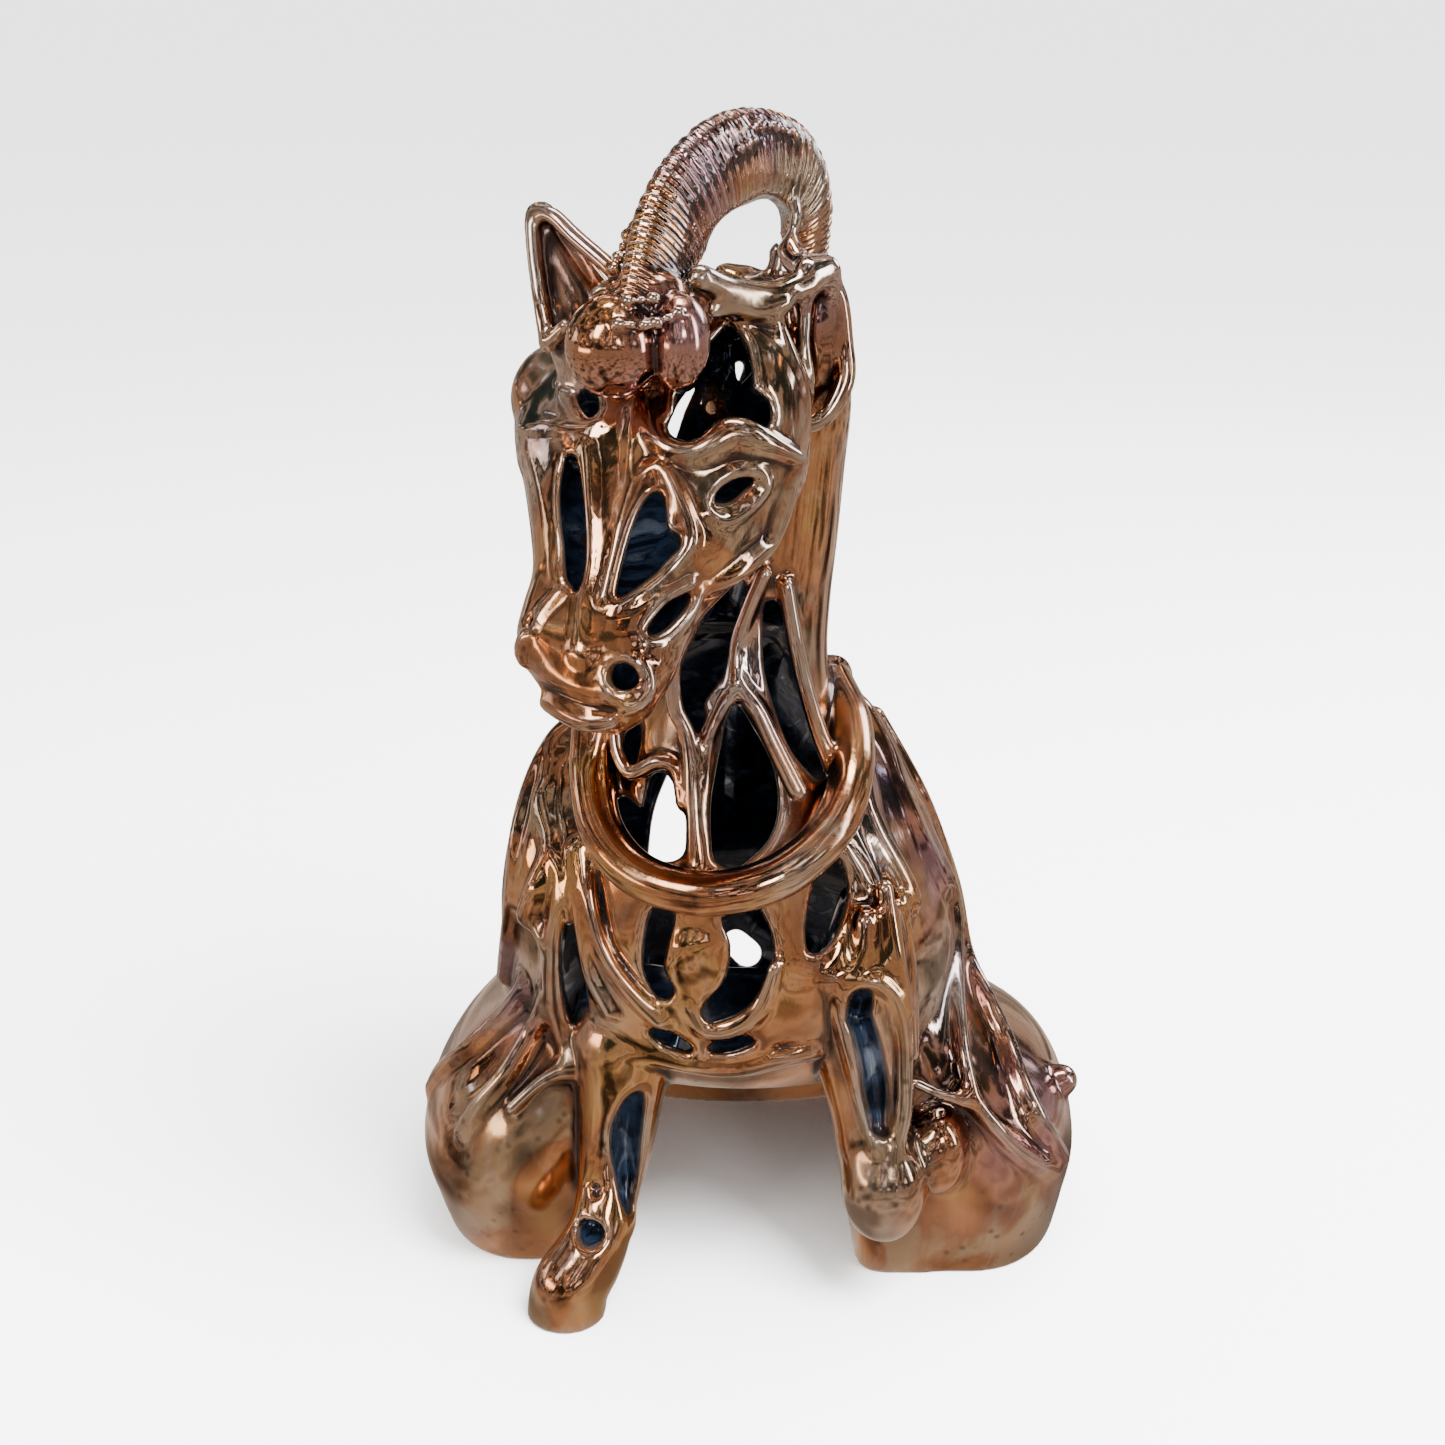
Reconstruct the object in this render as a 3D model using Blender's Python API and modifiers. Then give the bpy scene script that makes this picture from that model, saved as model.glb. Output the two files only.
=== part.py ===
"""A hollow, openwork horse, cast in one piece and standing on its haunches, rump and left forefoot.

The figure is laid out in design millimetres, as shares of a height of 424, in axes that face a viewer who
stands 15 degrees off its chest: x across to the right, y away, z up. It is then turned, so that its chest
looks along -Y, and set down with its origin under the middle of its bounding box.
"""

import math

import bmesh
import bpy
import numpy as np
from mathutils import Matrix, Vector

# Driving sizes, in metres
HEIGHT = 0.424
WALL = 0.006
COLLAR_RADIUS = 0.008
EAR_BAR_RADIUS = 0.0048

# The design millimetre: every place and every free form below is a share of the height
DESIGN_HEIGHT = 424
MM = HEIGHT / DESIGN_HEIGHT

# The viewer that the openwork is cut for, in design millimetres
TURN = math.radians(15)
VIEWER = Vector((10, -757, 484))

# The least radius of an opening, in design millimetres
LEAST_OPENING = 3.4

# How finely the fused casting is meshed
VOXEL = 0.0021
CUTTER_VOXEL = 0.0016
TRIANGLES = 9700

# The head's own axes: its poll, then across to the horse's left, out of the face, and down to the muzzle
POLL = Vector((-1, -40, 369))
HEAD_ACROSS = Vector((0.917, -0.399, 0))
HEAD_DOWN = Vector((-0.253, -0.583, -0.772)).normalized()
HEAD_OUT = HEAD_DOWN.cross(HEAD_ACROSS).normalized()
UPRIGHT = (Vector((0, 0, 0)), Vector((1, 0, 0)), Vector((0, 1, 0)), Vector((0, 0, 1)))
HEAD = (POLL, HEAD_ACROSS, HEAD_OUT, HEAD_DOWN)


def link(name, mesh, collection):
    """Puts a mesh into the collection as a named object."""
    obj = bpy.data.objects.new(name, mesh)
    collection.objects.link(obj)
    return obj


def smooth_rows(rows, steps):
    """Rows of a table with steps more rows put between each pair, on a Catmull-Rom curve."""
    table = np.array(rows, dtype=float)
    padded = np.vstack([2 * table[0] - table[1], table, 2 * table[-1] - table[-2]])
    t = np.linspace(0, 1, steps, endpoint=False)[:, None]
    spans = []
    for before, start, end, after in zip(padded, padded[1:], padded[2:], padded[3:]):
        spans.append(
            0.5
            * (
                2 * start
                + (end - before) * t
                + (2 * before - 5 * start + 4 * end - after) * t**2
                + (3 * start - before - 3 * end + after) * t**3
            )
        )
    return np.vstack(spans + [table[-1:]])


def loft(name, rows, collection, frame=UPRIGHT, power=2.0, sides=40):
    """A closed skin through superellipses. A row is (along, centre u, centre v, half width u, half width v)."""
    origin, u, v, w = (np.array(axis) for axis in frame)
    rings = smooth_rows(rows, 4)
    angle = np.linspace(0, 2 * math.pi, sides, endpoint=False)
    cosine, sine = np.cos(angle), np.sin(angle)
    round_u = np.sign(cosine) * np.abs(cosine) ** (2 / power)
    round_v = np.sign(sine) * np.abs(sine) ** (2 / power)
    along, centre_u, centre_v, half_u, half_v = (rings[:, i, None] for i in range(5))
    points = (
        origin
        + (centre_u + half_u * round_u)[..., None] * u
        + (centre_v + half_v * round_v)[..., None] * v
        + (along + 0 * round_u)[..., None] * w
    )
    count = len(rings)
    index = np.arange(count * sides).reshape(count, sides)
    following = np.roll(index, -1, axis=1)
    quads = np.stack([index[:-1], following[:-1], following[1:], index[1:]], axis=-1).reshape(-1, 4)
    faces = quads.tolist() + [index[0, ::-1].tolist(), index[-1].tolist()]
    mesh = bpy.data.meshes.new(name)
    mesh.from_pydata((points.reshape(-1, 3) * MM).tolist(), [], faces)
    face_out(mesh)
    return link(name, mesh, collection)


def face_out(mesh):
    """Turns every face of a closed mesh outward."""
    work = bmesh.new()
    work.from_mesh(mesh)
    bmesh.ops.remove_doubles(work, verts=work.verts, dist=1e-6)
    bmesh.ops.recalc_face_normals(work, faces=work.faces)
    work.to_mesh(mesh)
    work.free()


def rod(name, rows, collection, radius=None, along=None, stretch=1.0):
    """A round bar through (x, y, z, radius) rows, in design millimetres.

    A radius in metres takes the place of the rows' own, so that a bar keeps its gauge. Along and stretch
    flatten the bar, or draw it out, in one direction.
    """
    curve = bpy.data.curves.new(name, "CURVE")
    curve.dimensions = "3D"
    curve.bevel_depth = 1.0
    curve.bevel_resolution = 3
    curve.resolution_u = 5
    curve.use_fill_caps = True
    spline = curve.splines.new("BEZIER")
    spline.bezier_points.add(len(rows) - 1)
    for point, row in zip(spline.bezier_points, rows):
        point.co = Vector(row[:3]) * MM
        point.radius = radius or row[3] * MM
        point.handle_left_type = point.handle_right_type = "AUTO"
    guide = bpy.data.objects.new(name, curve)
    collection.objects.link(guide)
    mesh = bpy.data.meshes.new_from_object(guide.evaluated_get(bpy.context.evaluated_depsgraph_get()))
    bpy.data.objects.remove(guide)
    if along is not None:
        middle = sum((Vector(row[:3]) for row in rows), Vector()) / len(rows) * MM
        mesh.transform(
            Matrix.Translation(middle) @ Matrix.Scale(stretch, 4, along.normalized()) @ Matrix.Translation(-middle)
        )
    face_out(mesh)
    return link(name, mesh, collection)


def window(name, rows, collection, depth=5.0):
    """A cutter: a tapered bar drawn out along the viewer's line of sight, never too thin to cast."""
    middle = sum((Vector(row[:3]) for row in rows), Vector()) / len(rows)
    wide = [(*row[:3], max(row[3], LEAST_OPENING)) for row in rows]
    return rod(name, wide, collection, along=middle - VIEWER, stretch=depth)


def ball(name, centre, radii, collection):
    """An ellipsoid with its axes along the design axes."""
    mesh = bpy.data.meshes.new(name)
    work = bmesh.new()
    bmesh.ops.create_uvsphere(work, u_segments=24, v_segments=14, radius=1.0)
    bmesh.ops.scale(work, vec=Vector(radii) * MM, verts=work.verts)
    bmesh.ops.translate(work, vec=Vector(centre) * MM, verts=work.verts)
    work.to_mesh(mesh)
    work.free()
    return link(name, mesh, collection)


def on_head(rows):
    """Rows of (across, out, down, radius) on the head, as rows of (x, y, z, radius)."""
    placed = []
    for across, out, down, size in rows:
        place = POLL + HEAD_ACROSS * across + HEAD_OUT * out + HEAD_DOWN * down
        placed.append((*place, size))
    return placed


def skin_lofts(work):
    """The closed outer form: torso, the two haunches, the rump, the neck and the head."""
    loft("torso", TORSO, work)
    loft("right haunch", RIGHT_HAUNCH, work, power=2.3)
    loft("right corner", RIGHT_CORNER, work, power=4.0)
    loft("left haunch", LEFT_HAUNCH, work, power=2.3)
    loft("rump", RUMP, work)
    loft("neck", NECK, work)
    loft("skull", SKULL, work, frame=HEAD, power=2.3)


# Rows of (height, centre x, centre y, half width x, half depth y)
TORSO = [
    (80, 18, 25, 80, 74), (90, 17, 24, 86, 82), (103, 15, 20, 89, 86), (125, 13, 16, 88, 87),
    (145, 11, 14, 84, 84), (166, 9, 12, 77, 76), (185, 8, 13, 68, 66), (200, 9, 16, 57, 55),
    (218, 12, 24, 40, 36), (232, 16, 30, 18, 18),
]
LEFT_HAUNCH = [
    (-16, -62, 33, 34, 68), (0, -64, 33, 38, 71), (15, -66, 32, 40, 76), (34, -66, 30, 43, 81),
    (58, -58, 27, 42, 79), (85, -45, 22, 36, 69), (110, -31, 20, 33, 58),
]
RIGHT_HAUNCH = [
    (-16, 101, 28, 40, 72), (0, 102, 28, 42, 74), (15, 103, 28, 44, 77), (35, 103, 26, 46, 79),
    (60, 98, 19, 45, 72), (85, 80, 9, 36, 57), (115, 62, 8, 30, 46),
]
RIGHT_CORNER = [
    (-16, 77, -16, 17, 31), (0, 77, -16, 17, 31), (20, 76, -15, 16, 30), (40, 74, -12, 14, 28),
    (60, 72, -8, 10, 22),
]
RUMP = [
    (-16, 20, 110, 58, 26), (0, 20, 110, 64, 28), (30, 20, 106, 75, 34), (60, 20, 96, 78, 40),
    (90, 20, 80, 76, 44), (125, 16, 58, 66, 40),
]
NECK = [
    (150, 8, -12, 46, 56), (175, 9, -12, 47, 56), (195, 9, -6, 45, 50), (215, 8, -2, 42, 46),
    (235, 13, 0, 35, 42), (255, 18, 2, 31, 38), (275, 24, 2, 27, 34), (300, 27, 2, 26, 32),
    (325, 29, 2, 26, 31), (345, 28, 2, 24, 29), (360, 26, 0, 19, 22), (368, 26, 0, 10, 12),
]
LEFT_FORELEG = [
    (30, -33, -58, 11, 12), (40, -32, -54, 11.5, 14), (59, -29, -48, 14, 14), (78, -27, -44, 16, 17),
    (98, -25, -38, 20, 22), (112, -22, -32, 20, 24),
]
RIGHT_FORELEG = [
    (45, 69, -55, 13, 11), (60, 66, -56, 14.5, 12), (73, 63.5, -55, 14, 12), (97, 60, -51, 16.5, 15),
    (121, 60, -50, 16, 16), (137, 61, -48, 15, 16), (155, 63, -43, 11, 14),
]
# Rows of (down the face, centre across, centre out, half width, half depth)
SKULL = [
    (-6, 0, -20, 16, 12), (0, -1, -20, 27, 20), (20, -3, -22, 41, 27), (44, -6, -25, 50, 33),
    (58, -6, -25, 47, 33), (68, -5, -25, 42, 32), (87, -3, -21, 34, 27), (100, -3, -19, 29, 22),
    (112, -3, -16, 28, 18), (123, -2, -14, 27, 17), (132, 0, -14, 23, 15), (140, 3, -14, 17, 12),
    (147, 4, -15, 9, 7),
]

# Openings, as rows of (x, y, z, radius) of a cutter's middle line
NECK_WINDOWS = [
    [(15, -36, 268, 3), (12, -38, 260, 6), (8, -40, 250, 7.5), (3, -42, 240, 7.2), (-1, -44, 230, 5),
     (1, -47, 222, 3)],
    [(27, -36, 260, 3.2), (29, -38, 241, 4.8), (33, -38, 225, 4.9), (38, -38, 211, 4.6), (44, -37, 200, 2.8)],
    [(14, -46, 227, 2.4), (16, -48, 217, 5.8), (18, -53, 204, 10.4), (17, -59, 192, 11.5), (13, -66, 183, 7)],
    [(-12, -50, 201, 4), (-10, -55, 192, 7.4), (-9, -62, 184, 7)],
    [(-25, -45, 191, 3.1), (-22, -51, 187, 5.3), (-15, -59, 183, 6.6)],
    [(-21, -38, 218, 2.6), (-22, -38, 212, 3.4), (-23, -40, 204, 2.5)],
]
CHEST_WINDOWS = [
    [(-11, -66, 157, 4.4), (-13, -66, 148, 4.1), (-14, -67, 138, 3.4), (-10, -68, 130, 3.2)],
    [(17, -69, 158, 6.8), (20, -69, 150, 7.2), (20, -70, 139, 7.6), (15, -71, 130, 6.2), (6, -70, 122, 4)],
    [(50, -50, 171, 3.5), (48, -56, 163, 6.2), (45, -61, 152, 5.8), (42, -64, 145, 2.7)],
    [(-35, -50, 167, 1.9), (-33, -56, 153, 2.7), (-30, -60, 142, 3), (-22, -64, 132, 2.4),
     (-14, -67, 124, 1.6)],
    [(-48, -45, 150, 2.4), (-45, -50, 137, 5), (-44, -49, 121, 4.8), (-42, -47, 105, 4.5), (-39, -47, 95, 2.8)],
    [(-50, -39, 166, 1.6), (-48, -43, 157, 2.1)],
    [(-15, -63, 111, 1.4), (-9, -65, 109, 2.7), (-2, -65, 105, 1.7)],
    [(6, -66, 106, 1.4), (12, -67, 108, 2.7), (20, -68, 110, 1.7)],
    [(27, -66, 104, 1), (31, -65, 105, 2), (37, -64, 106, 1)],
]
HEAD_WINDOWS = [
    [(20, 0, 13, 3), (20, 0, 21, 6), (20, 0, 31, 10), (20, 0, 40, 12)],
    [(11, 0, 49, 4), (20, 0, 46, 8), (33, 0, 42, 7)],
    [(-28, 0, 38, 2.4), (-23, 0, 43, 3.2), (-18, 0, 50, 2.4)],
    [(-23, 0, 64, 1.8), (-20, 0, 74, 3.4), (-16, 0, 84, 4.1), (-12, 0, 95, 3.6), (-10, 0, 104, 2.6),
     (-8, 0, 108, 1.4)],
    [(10, 0, 75, 2.4), (10, 0, 83, 5.2), (11, 0, 92, 7), (9, 0, 101, 4.8), (7, 0, 108, 2)],
    [(12, 0, 91, 6), (20, 0, 89, 2.8)],
    [(27, -3, 71, 1.2), (30, -5, 68, 3), (33, -6, 63, 3), (36, -9, 60, 1.2)],
    [(24, -11, 102, 1.7), (22, -7, 108, 3.3), (20, -4, 115, 2.6), (19, -2, 118, 1.4)],
]
FAR_HEAD_WINDOWS = [
    [(1, 5, 328, 2.4), (-3, 5, 320, 3.6), (-8, 5, 310, 3)],
    [(16, 25, 332, 1.6), (11, 25, 321, 2.5), (7, 25, 310, 2)],
]
FAR_BODY_WINDOWS = [
    [(-3, 88, 152, 8), (-8, 90, 131, 10.5), (-10, 92, 109, 11.5)],
    [(16, 128, 54, 6), (21, 128, 49, 6.5)],
]
BACK_WINDOWS = [
    [(70, 74, 168, 5), (75, 76, 146, 7), (74, 80, 120, 7), (70, 84, 104, 5)],
]
CREST_WINDOWS = [
    [(9, -30, 378, 4), (16, -25, 382, 10), (25, -20, 389, 8)],
    [(14, -30, 376, 5), (24, -25, 376, 4.5)],
]
LEFT_SLIT = [
    (-18, -62, 86, 1.6), (-22, -62, 80, 4.2), (-25, -62, 68, 5.6), (-25, -62, 55, 4.4), (-25, -62, 43, 2.6),
    (-25, -62, 36, 1.2),
]
RIGHT_LEAF = [
    (61, -69, 115, 3.2), (63, -70, 103, 5.2), (65, -70, 89, 5.2), (66, -70, 76, 3.2),
]
RIGHT_HOLE = [
    (59, -66, 125, 3.8), (57, -66, 118, 3.2),
]
DENTS = [
    ((-38, -75, 34), (5.4, 12, 4.4)),
]
NOSTRIL = [
    (14, 5, 135, 4), (14, -8, 132, 4.2),
]
LEFT_EAR_HOLLOW = [
    (-47, -57, 387, 2), (-43, -61, 380, 4.6), (-39, -63, 372, 6), (-35, -65, 365, 4.4),
]
RIGHT_EAR_HOLLOW = [
    (43, -35, 363, 3.5), (43, -36, 350, 5.2), (44, -36, 339, 4),
]
VALLEYS = [
    [(103, 6, 118, 4), (106, -8, 105, 6.5), (110, -28, 95, 8.5), (115, -42, 83, 9), (123, -51, 69, 8),
     (133, -47, 53, 5)],
    [(-66, -29, 101, 3.4), (-76, -32, 87, 6), (-86, -31, 73, 5.4), (-95, -22, 60, 3)],
]

# Raised bars, as rows of (x, y, z, radius), or of (x, y, z) where the bar has a named gauge
COLLAR = [
    (-36, -20, 212), (-36, -38, 197), (-31, -55, 183), (-17, -70, 174), (6, -79, 172), (29, -76, 177),
    (47, -62, 188), (55, -42, 200), (56, -15, 210), (51, 15, 215),
]
NECK_STRAPS = [
    [(-4, -50, 254, 2.4), (-7, -47, 239, 3.1), (-6, -48, 227, 3.1), (-2, -50, 218, 3.1), (0, -56, 199, 3.1),
     (1, -66, 176, 3.1)],
    [(24, -36, 272, 2.8), (19, -37, 260, 2.8), (15, -38, 248, 2.8), (14, -42, 235, 3.1), (9, -45, 226, 2.8),
     (5, -49, 217, 2.4), (3, -56, 195, 2.2), (3, -66, 176, 2.2)],
    [(15, -43, 235, 2.8), (22, -44, 226, 3.1), (28, -48, 214, 3.5), (36, -54, 199, 3.8)],
    [(32, -33, 267, 2.5), (35, -34, 249, 2.8), (39, -34, 231, 2.8), (44, -34, 214, 3.2), (50, -38, 200, 3.5)],
    [(-28, -28, 232, 2.4), (-32, -32, 217, 2.8), (-34, -40, 200, 3.1)],
    [(-27, -34, 222, 2.1), (-27, -40, 210, 2.4), (-22, -46, 203, 2.8), (-13, -48, 208, 2.8),
     (-6, -50, 206, 2.4), (-4, -55, 195, 2.4)],
]
FOLDS = [
    [(-44, 8, 203, 3.5), (-50, 2, 197, 3.7), (-53, -14, 185, 3.4), (-57, -22, 172, 3.2), (-60, -26, 158, 3),
     (-63, -26, 144, 2.8)],
    [(-44, 1, 202, 3.6), (-55, 2, 191, 3.6), (-61, -5, 179, 3.6), (-65, -15, 165, 3.4), (-66, -20, 151, 3.2),
     (-69, -18, 130, 3), (-73, -6, 105, 3)],
    [(-54, -18, 182, 2.8), (-51, -32, 172, 2.8), (-47, -42, 161, 2.6), (-50, -46, 142, 2.4),
     (-52, -43, 119, 2.8), (-49, -43, 101, 2.8), (-44, -48, 88, 2.8)],
    [(-54, -38, 111, 2.8), (-61, -36, 97, 3), (-70, -39, 82, 3.2), (-80, -39, 69, 3), (-88, -38, 56, 2.2)],
    [(-63, -25, 110, 2.8), (-74, -16, 93, 3.2), (-87, -10, 77, 3.4), (-99, 6, 59, 3.2), (-105, 14, 46, 2.6)],
    [(-46, -48, 89, 2.4), (-57, -49, 83, 2.2), (-68, -49, 72, 1.8)],
    [(58, 14, 209, 3.5), (67, 8, 193, 3.6), (74, -3, 179, 3.6), (82, -10, 162, 4), (90, -8, 144, 3.6)],
    [(60, -19, 194, 2.8), (62, -30, 183, 3), (66, -36, 170, 3), (73, -38, 155, 3)],
    [(53, -46, 174, 2.6), (59, -47, 163, 2.8), (62, -51, 151, 3), (58, -58, 140, 2.8), (50, -64, 133, 2.6)],
    [(62, 14, 204, 3), (76, 6, 178, 3.2), (88, 0, 155, 3), (97, -3, 135, 2.8), (98, -13, 115, 2.6),
     (98, -30, 102, 2.6), (99, -45, 89, 2.6), (103, -51, 76, 2.8), (112, -53, 65, 2.8), (124, -48, 51, 2.8),
     (135, -38, 39, 2.4)],
    [(68, 22, 200, 3), (84, 14, 172, 3.2), (92, 16, 150, 3.4), (99, 20, 128, 3.2), (103, 14, 108, 3.2),
     (110, -3, 97, 3.2), (117, -15, 85, 3.2), (122, -31, 75, 3), (129, -39, 61, 3), (139, -31, 41, 2.6)],
    [(-51, -34, 168, 3.4), (-56, -37, 155, 5.2), (-61, -35, 143, 3.6)],
    [(-60, -35, 145, 3), (-54, -43, 136, 2.1)],
    [(63, -31, 179, 3), (69, -37, 167, 5), (75, -39, 154, 6), (78, -40, 148, 3)],
    [(-39, -43, 173, 3), (-37, -52, 158, 2.8), (-32, -58, 141, 2.7), (-23, -63, 128, 2.7),
     (-12, -66, 117, 2.6)],
    [(-42, -41, 172, 2.4), (-40, -52, 150, 2.4), (-37, -56, 132, 2.6), (-30, -58, 117, 2.6)],
    [(-2, -69, 124, 2), (4, -69, 115, 2.4), (14, -70, 116, 2.4), (23, -70, 124, 2.4), (28, -70, 140, 2)],
    [(-24, -56, 100, 2.7), (-2, -61, 97, 3.1), (14, -62, 96, 3.1), (30, -64, 101, 2.7), (42, -62, 103, 2.7)],
]
MANE_CREST = [
    (-16, -76, 366, 10), (-11, -62, 378, 14.5), (-5, -48, 392, 17), (7, -32, 403, 19), (20, -12, 406, 18),
    (32, 4, 402, 16), (38, 16, 389, 14.5), (40, 22, 370, 10.5), (42, 26, 348, 9.8), (44, 30, 318, 9),
    (44, 32, 292, 7.6), (43, 32, 265, 5.3),
]
MANE_SIDEWAYS = Vector((0.8, -0.6, 0))
MANE_FLATNESS = 0.46
EAR_BARS = [
    [(3, -62, 376), (12, -54, 371), (24, -46, 368), (35, -38, 370), (44, -30, 374)],
    [(30, 0, 396), (32, -5, 389), (30, -12, 383), (34, -20, 376), (42, -28, 372)],
    [(24, -45, 362), (29, -47, 350), (34, -48, 336), (33, -51, 324), (31, -56, 314)],
]
THIN_BARS = [
    [(7, -60, 365, 2.4), (14, -56, 366, 2.8), (22, -52, 364, 2.8), (30, -46, 366, 2.8)],
    [(25, 5, 386, 3.3), (26, 5, 379, 3), (28, 0, 373, 3), (24, -6, 366, 3), (18, -10, 364, 2.6)],
    [(14, -52, 362, 2.2), (20, -54, 352, 2.3), (25, -55, 339, 2.4), (30, -57, 322, 2.4)],
    [(10, -12, 340, 2.5), (4, -12, 331, 2.5), (-1, -14, 322, 2.5), (-4, -18, 311, 2.5)],
    [(25, -12, 339, 2.5), (19, -12, 332, 2.5), (13, -12, 325, 2.5), (10, -12, 314, 2.5)],
    [(4, -30, 348, 2.1), (-1, -30, 338, 2.1), (-9, -28, 328, 2.1)],
    [(-50, -44, 394, 2.8), (-44, -49, 394, 2.8), (-37, -53, 388, 3), (-29, -58, 382, 3), (-22, -63, 377, 3)],
    [(-51, -46, 391, 2.4), (-50, -51, 380, 2.4), (-48, -56, 368, 2.6), (-46, -58, 356, 2.8)],
    [(-27, -66, 374, 2.4), (-34, -65, 368, 2.6), (-41, -62, 360, 2.6), (-46, -58, 354, 2.4)],
    [(-25, -70, 368, 2.2), (-31, -71, 361, 2.4), (-38, -68, 354, 2.4)],
    [(38, -31, 376, 3.4), (43, -28, 373, 3.6), (48, -26, 364, 3.8), (50, -26, 350, 3.8), (51, -28, 339, 3.8),
     (48, -31, 331, 3.6), (43, -34, 325, 3.2), (36, -38, 323, 2.5)],
    [(37, -34, 375, 3.2), (37, -36, 365, 3), (37, -38, 352, 3), (38, -40, 341, 3), (37, -42, 330, 2.8)],
]
LEFT_EAR = [
    (-30, -50, 350, 15), (-35, -49, 362, 13.5), (-41, -46, 374, 10.5), (-46, -43, 385, 7.5),
    (-48, -42, 393, 5),
]
EAR_THROUGH = Vector((0, 1, -0.3))
FACE_BARS = [
    [(-51, -14, 47, 3.2), (-44, -5, 53, 3.6), (-30, 3, 55, 3.6), (-19, 5, 57, 3.3), (-12, 6, 54, 3)],
    [(-33, 1, 36, 2.4), (-31, 3, 46, 2.4), (-23, 5, 53, 2.6), (-15, 6, 55, 2.6), (-12, 6, 49, 2.8),
     (-15, 6, 40, 2.8)],
    [(-40, -4, 60, 2.8), (-30, -2, 75, 2.8), (-23, -2, 89, 2.6), (-18, -2, 102, 2.6), (-13, 0, 110, 2.3)],
    [(-15, 6, 62, 2.4), (-9, 5, 80, 2.2), (-4, 2, 99, 2), (-3, 1, 112, 2)],
    [(-3, 6, 43, 3), (0, 6, 59, 2.8), (2, 5, 72, 2.3), (3, 4, 92, 2), (3, 2, 111, 2)],
    [(4, 1, 110, 2), (4, 2, 96, 2), (5, 4, 80, 2), (6, 5, 70, 2.2), (11, 5, 66, 2.4), (18, 2, 74, 2.3),
     (24, -3, 85, 2.6), (20, -4, 96, 2.3), (13, -1, 107, 2.6), (7, 0, 113, 2.3)],
    [(-1, 6, 42, 3), (3, 6, 51, 3.3), (7, 6, 57, 3.5), (13, 5, 60, 3.6), (20, 3, 59, 4), (25, 2, 55, 5),
     (29, 0, 50, 6), (35, -4, 49, 5.3), (41, -11, 48, 3.2), (45, -18, 47, 2.4)],
    [(25, -3, 73, 1.7), (27, -3, 66, 2), (32, -5, 60, 2.3), (37, -10, 57, 2.3), (39, -14, 60, 2),
     (36, -14, 67, 2.2), (31, -10, 75, 2.5), (27, -4, 76, 2), (25, -3, 73, 1.7)],
    [(45, -22, 46, 2.4), (43, -23, 53, 2.8), (40, -29, 61, 3.6), (36, -33, 71, 4), (33, -27, 82, 4),
     (30, -22, 90, 3.2), (24, -16, 97, 2.6)],
    [(26, -15, 97, 1.8), (25, -15, 106, 2), (23, -9, 117, 2), (19, -3, 122, 2), (16, -2, 117, 2),
     (19, -5, 106, 2), (25, -10, 97, 1.8)],
    [(10, -2, 137, 2), (11, -1, 131, 2.1), (17, -3, 128, 2.3), (21, -7, 131, 2.3), (21, -9, 137, 2.3),
     (16, -8, 142, 2), (11, -5, 141, 2), (10, -2, 137, 2)],
    [(-12, 0, 109, 2.6), (-16, 0, 116, 3), (-19, -1, 123, 3.3), (-23, -5, 128, 3), (-22, -8, 132, 2.3)],
    [(-5, 1, 111, 2), (-2, 2, 121, 2.4), (-1, 1, 128, 2.4)],
    [(-12, -12, 142, 3.5), (-4, -10, 145, 4), (4, -9, 147, 4), (11, -9, 146, 3.3)],
]
LEFT_FOOT = [
    (-34, -60, 38, 9.5), (-35, -64, 30, 11.5), (-40, -68, 20, 13.2), (-46, -71, 10, 14.2),
    (-48, -71, -6, 14.5),
]
RIGHT_LEG_BARS = [
    [(50, -62, 130, 2.8), (53, -65, 116, 3.2), (57, -67, 100, 3.2), (61, -68, 84, 3.2), (66, -69, 68, 3.2)],
    [(55, -64, 129, 2.6), (63, -65, 132, 2.6), (70, -64, 126, 2.8), (74, -64, 112, 3.2), (75, -65, 96, 3.2),
     (75, -66, 80, 3.2), (72, -68, 66, 3.2)],
    [(60, -58, 152, 3.6), (59, -61, 140, 3.3), (53, -63, 129, 3.1)],
    [(67, -52, 162, 3.3), (69, -56, 147, 3.5), (72, -59, 133, 3.5), (75, -61, 118, 3.2)],
    [(74, -46, 155, 2), (77, -48, 138, 2), (79, -50, 118, 2), (80, -50, 94, 2)],
]
BACK_BARS = [
    [(40, 34, 262, 5), (32, 44, 236, 6), (24, 60, 212, 6.5), (19, 76, 190, 6.5), (18, 90, 160, 6),
     (18, 104, 125, 6), (18, 122, 95, 6), (18, 134, 72, 7)],
    [(18, 134, 74, 7), (36, 136, 56, 8), (54, 133, 36, 8), (70, 124, 20, 7.5), (84, 110, 10, 6),
     (94, 98, 6, 4)],
]
# Knobs, as (centre, radii)
KNOBS = [
    ((-18, -80, 357), (21, 16, 15)), ((0, -77, 361), (9.5, 11, 13)), ((-12, -68, 371), (13, 12, 10)),
    ((43, -20, 351), (10, 10, 24)), ((14, 8, 366), (7.5, 8, 6)), ((52, 24, 215), (7, 8, 8)),
    ((0, -69, 141), (8.5, 3, 10.5)), ((142, -2, 58), (6, 7, 6)), ((69, -64, 45), (14.5, 14, 18)),
    ((88, -50, 53), (9.5, 9, 14)),
]
FACE_KNOBS = [
    ((-44, -20, 32), (18, 17, 19)), ((1, 0, 128), (4.5, 3.5, 4.5)),
]


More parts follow.
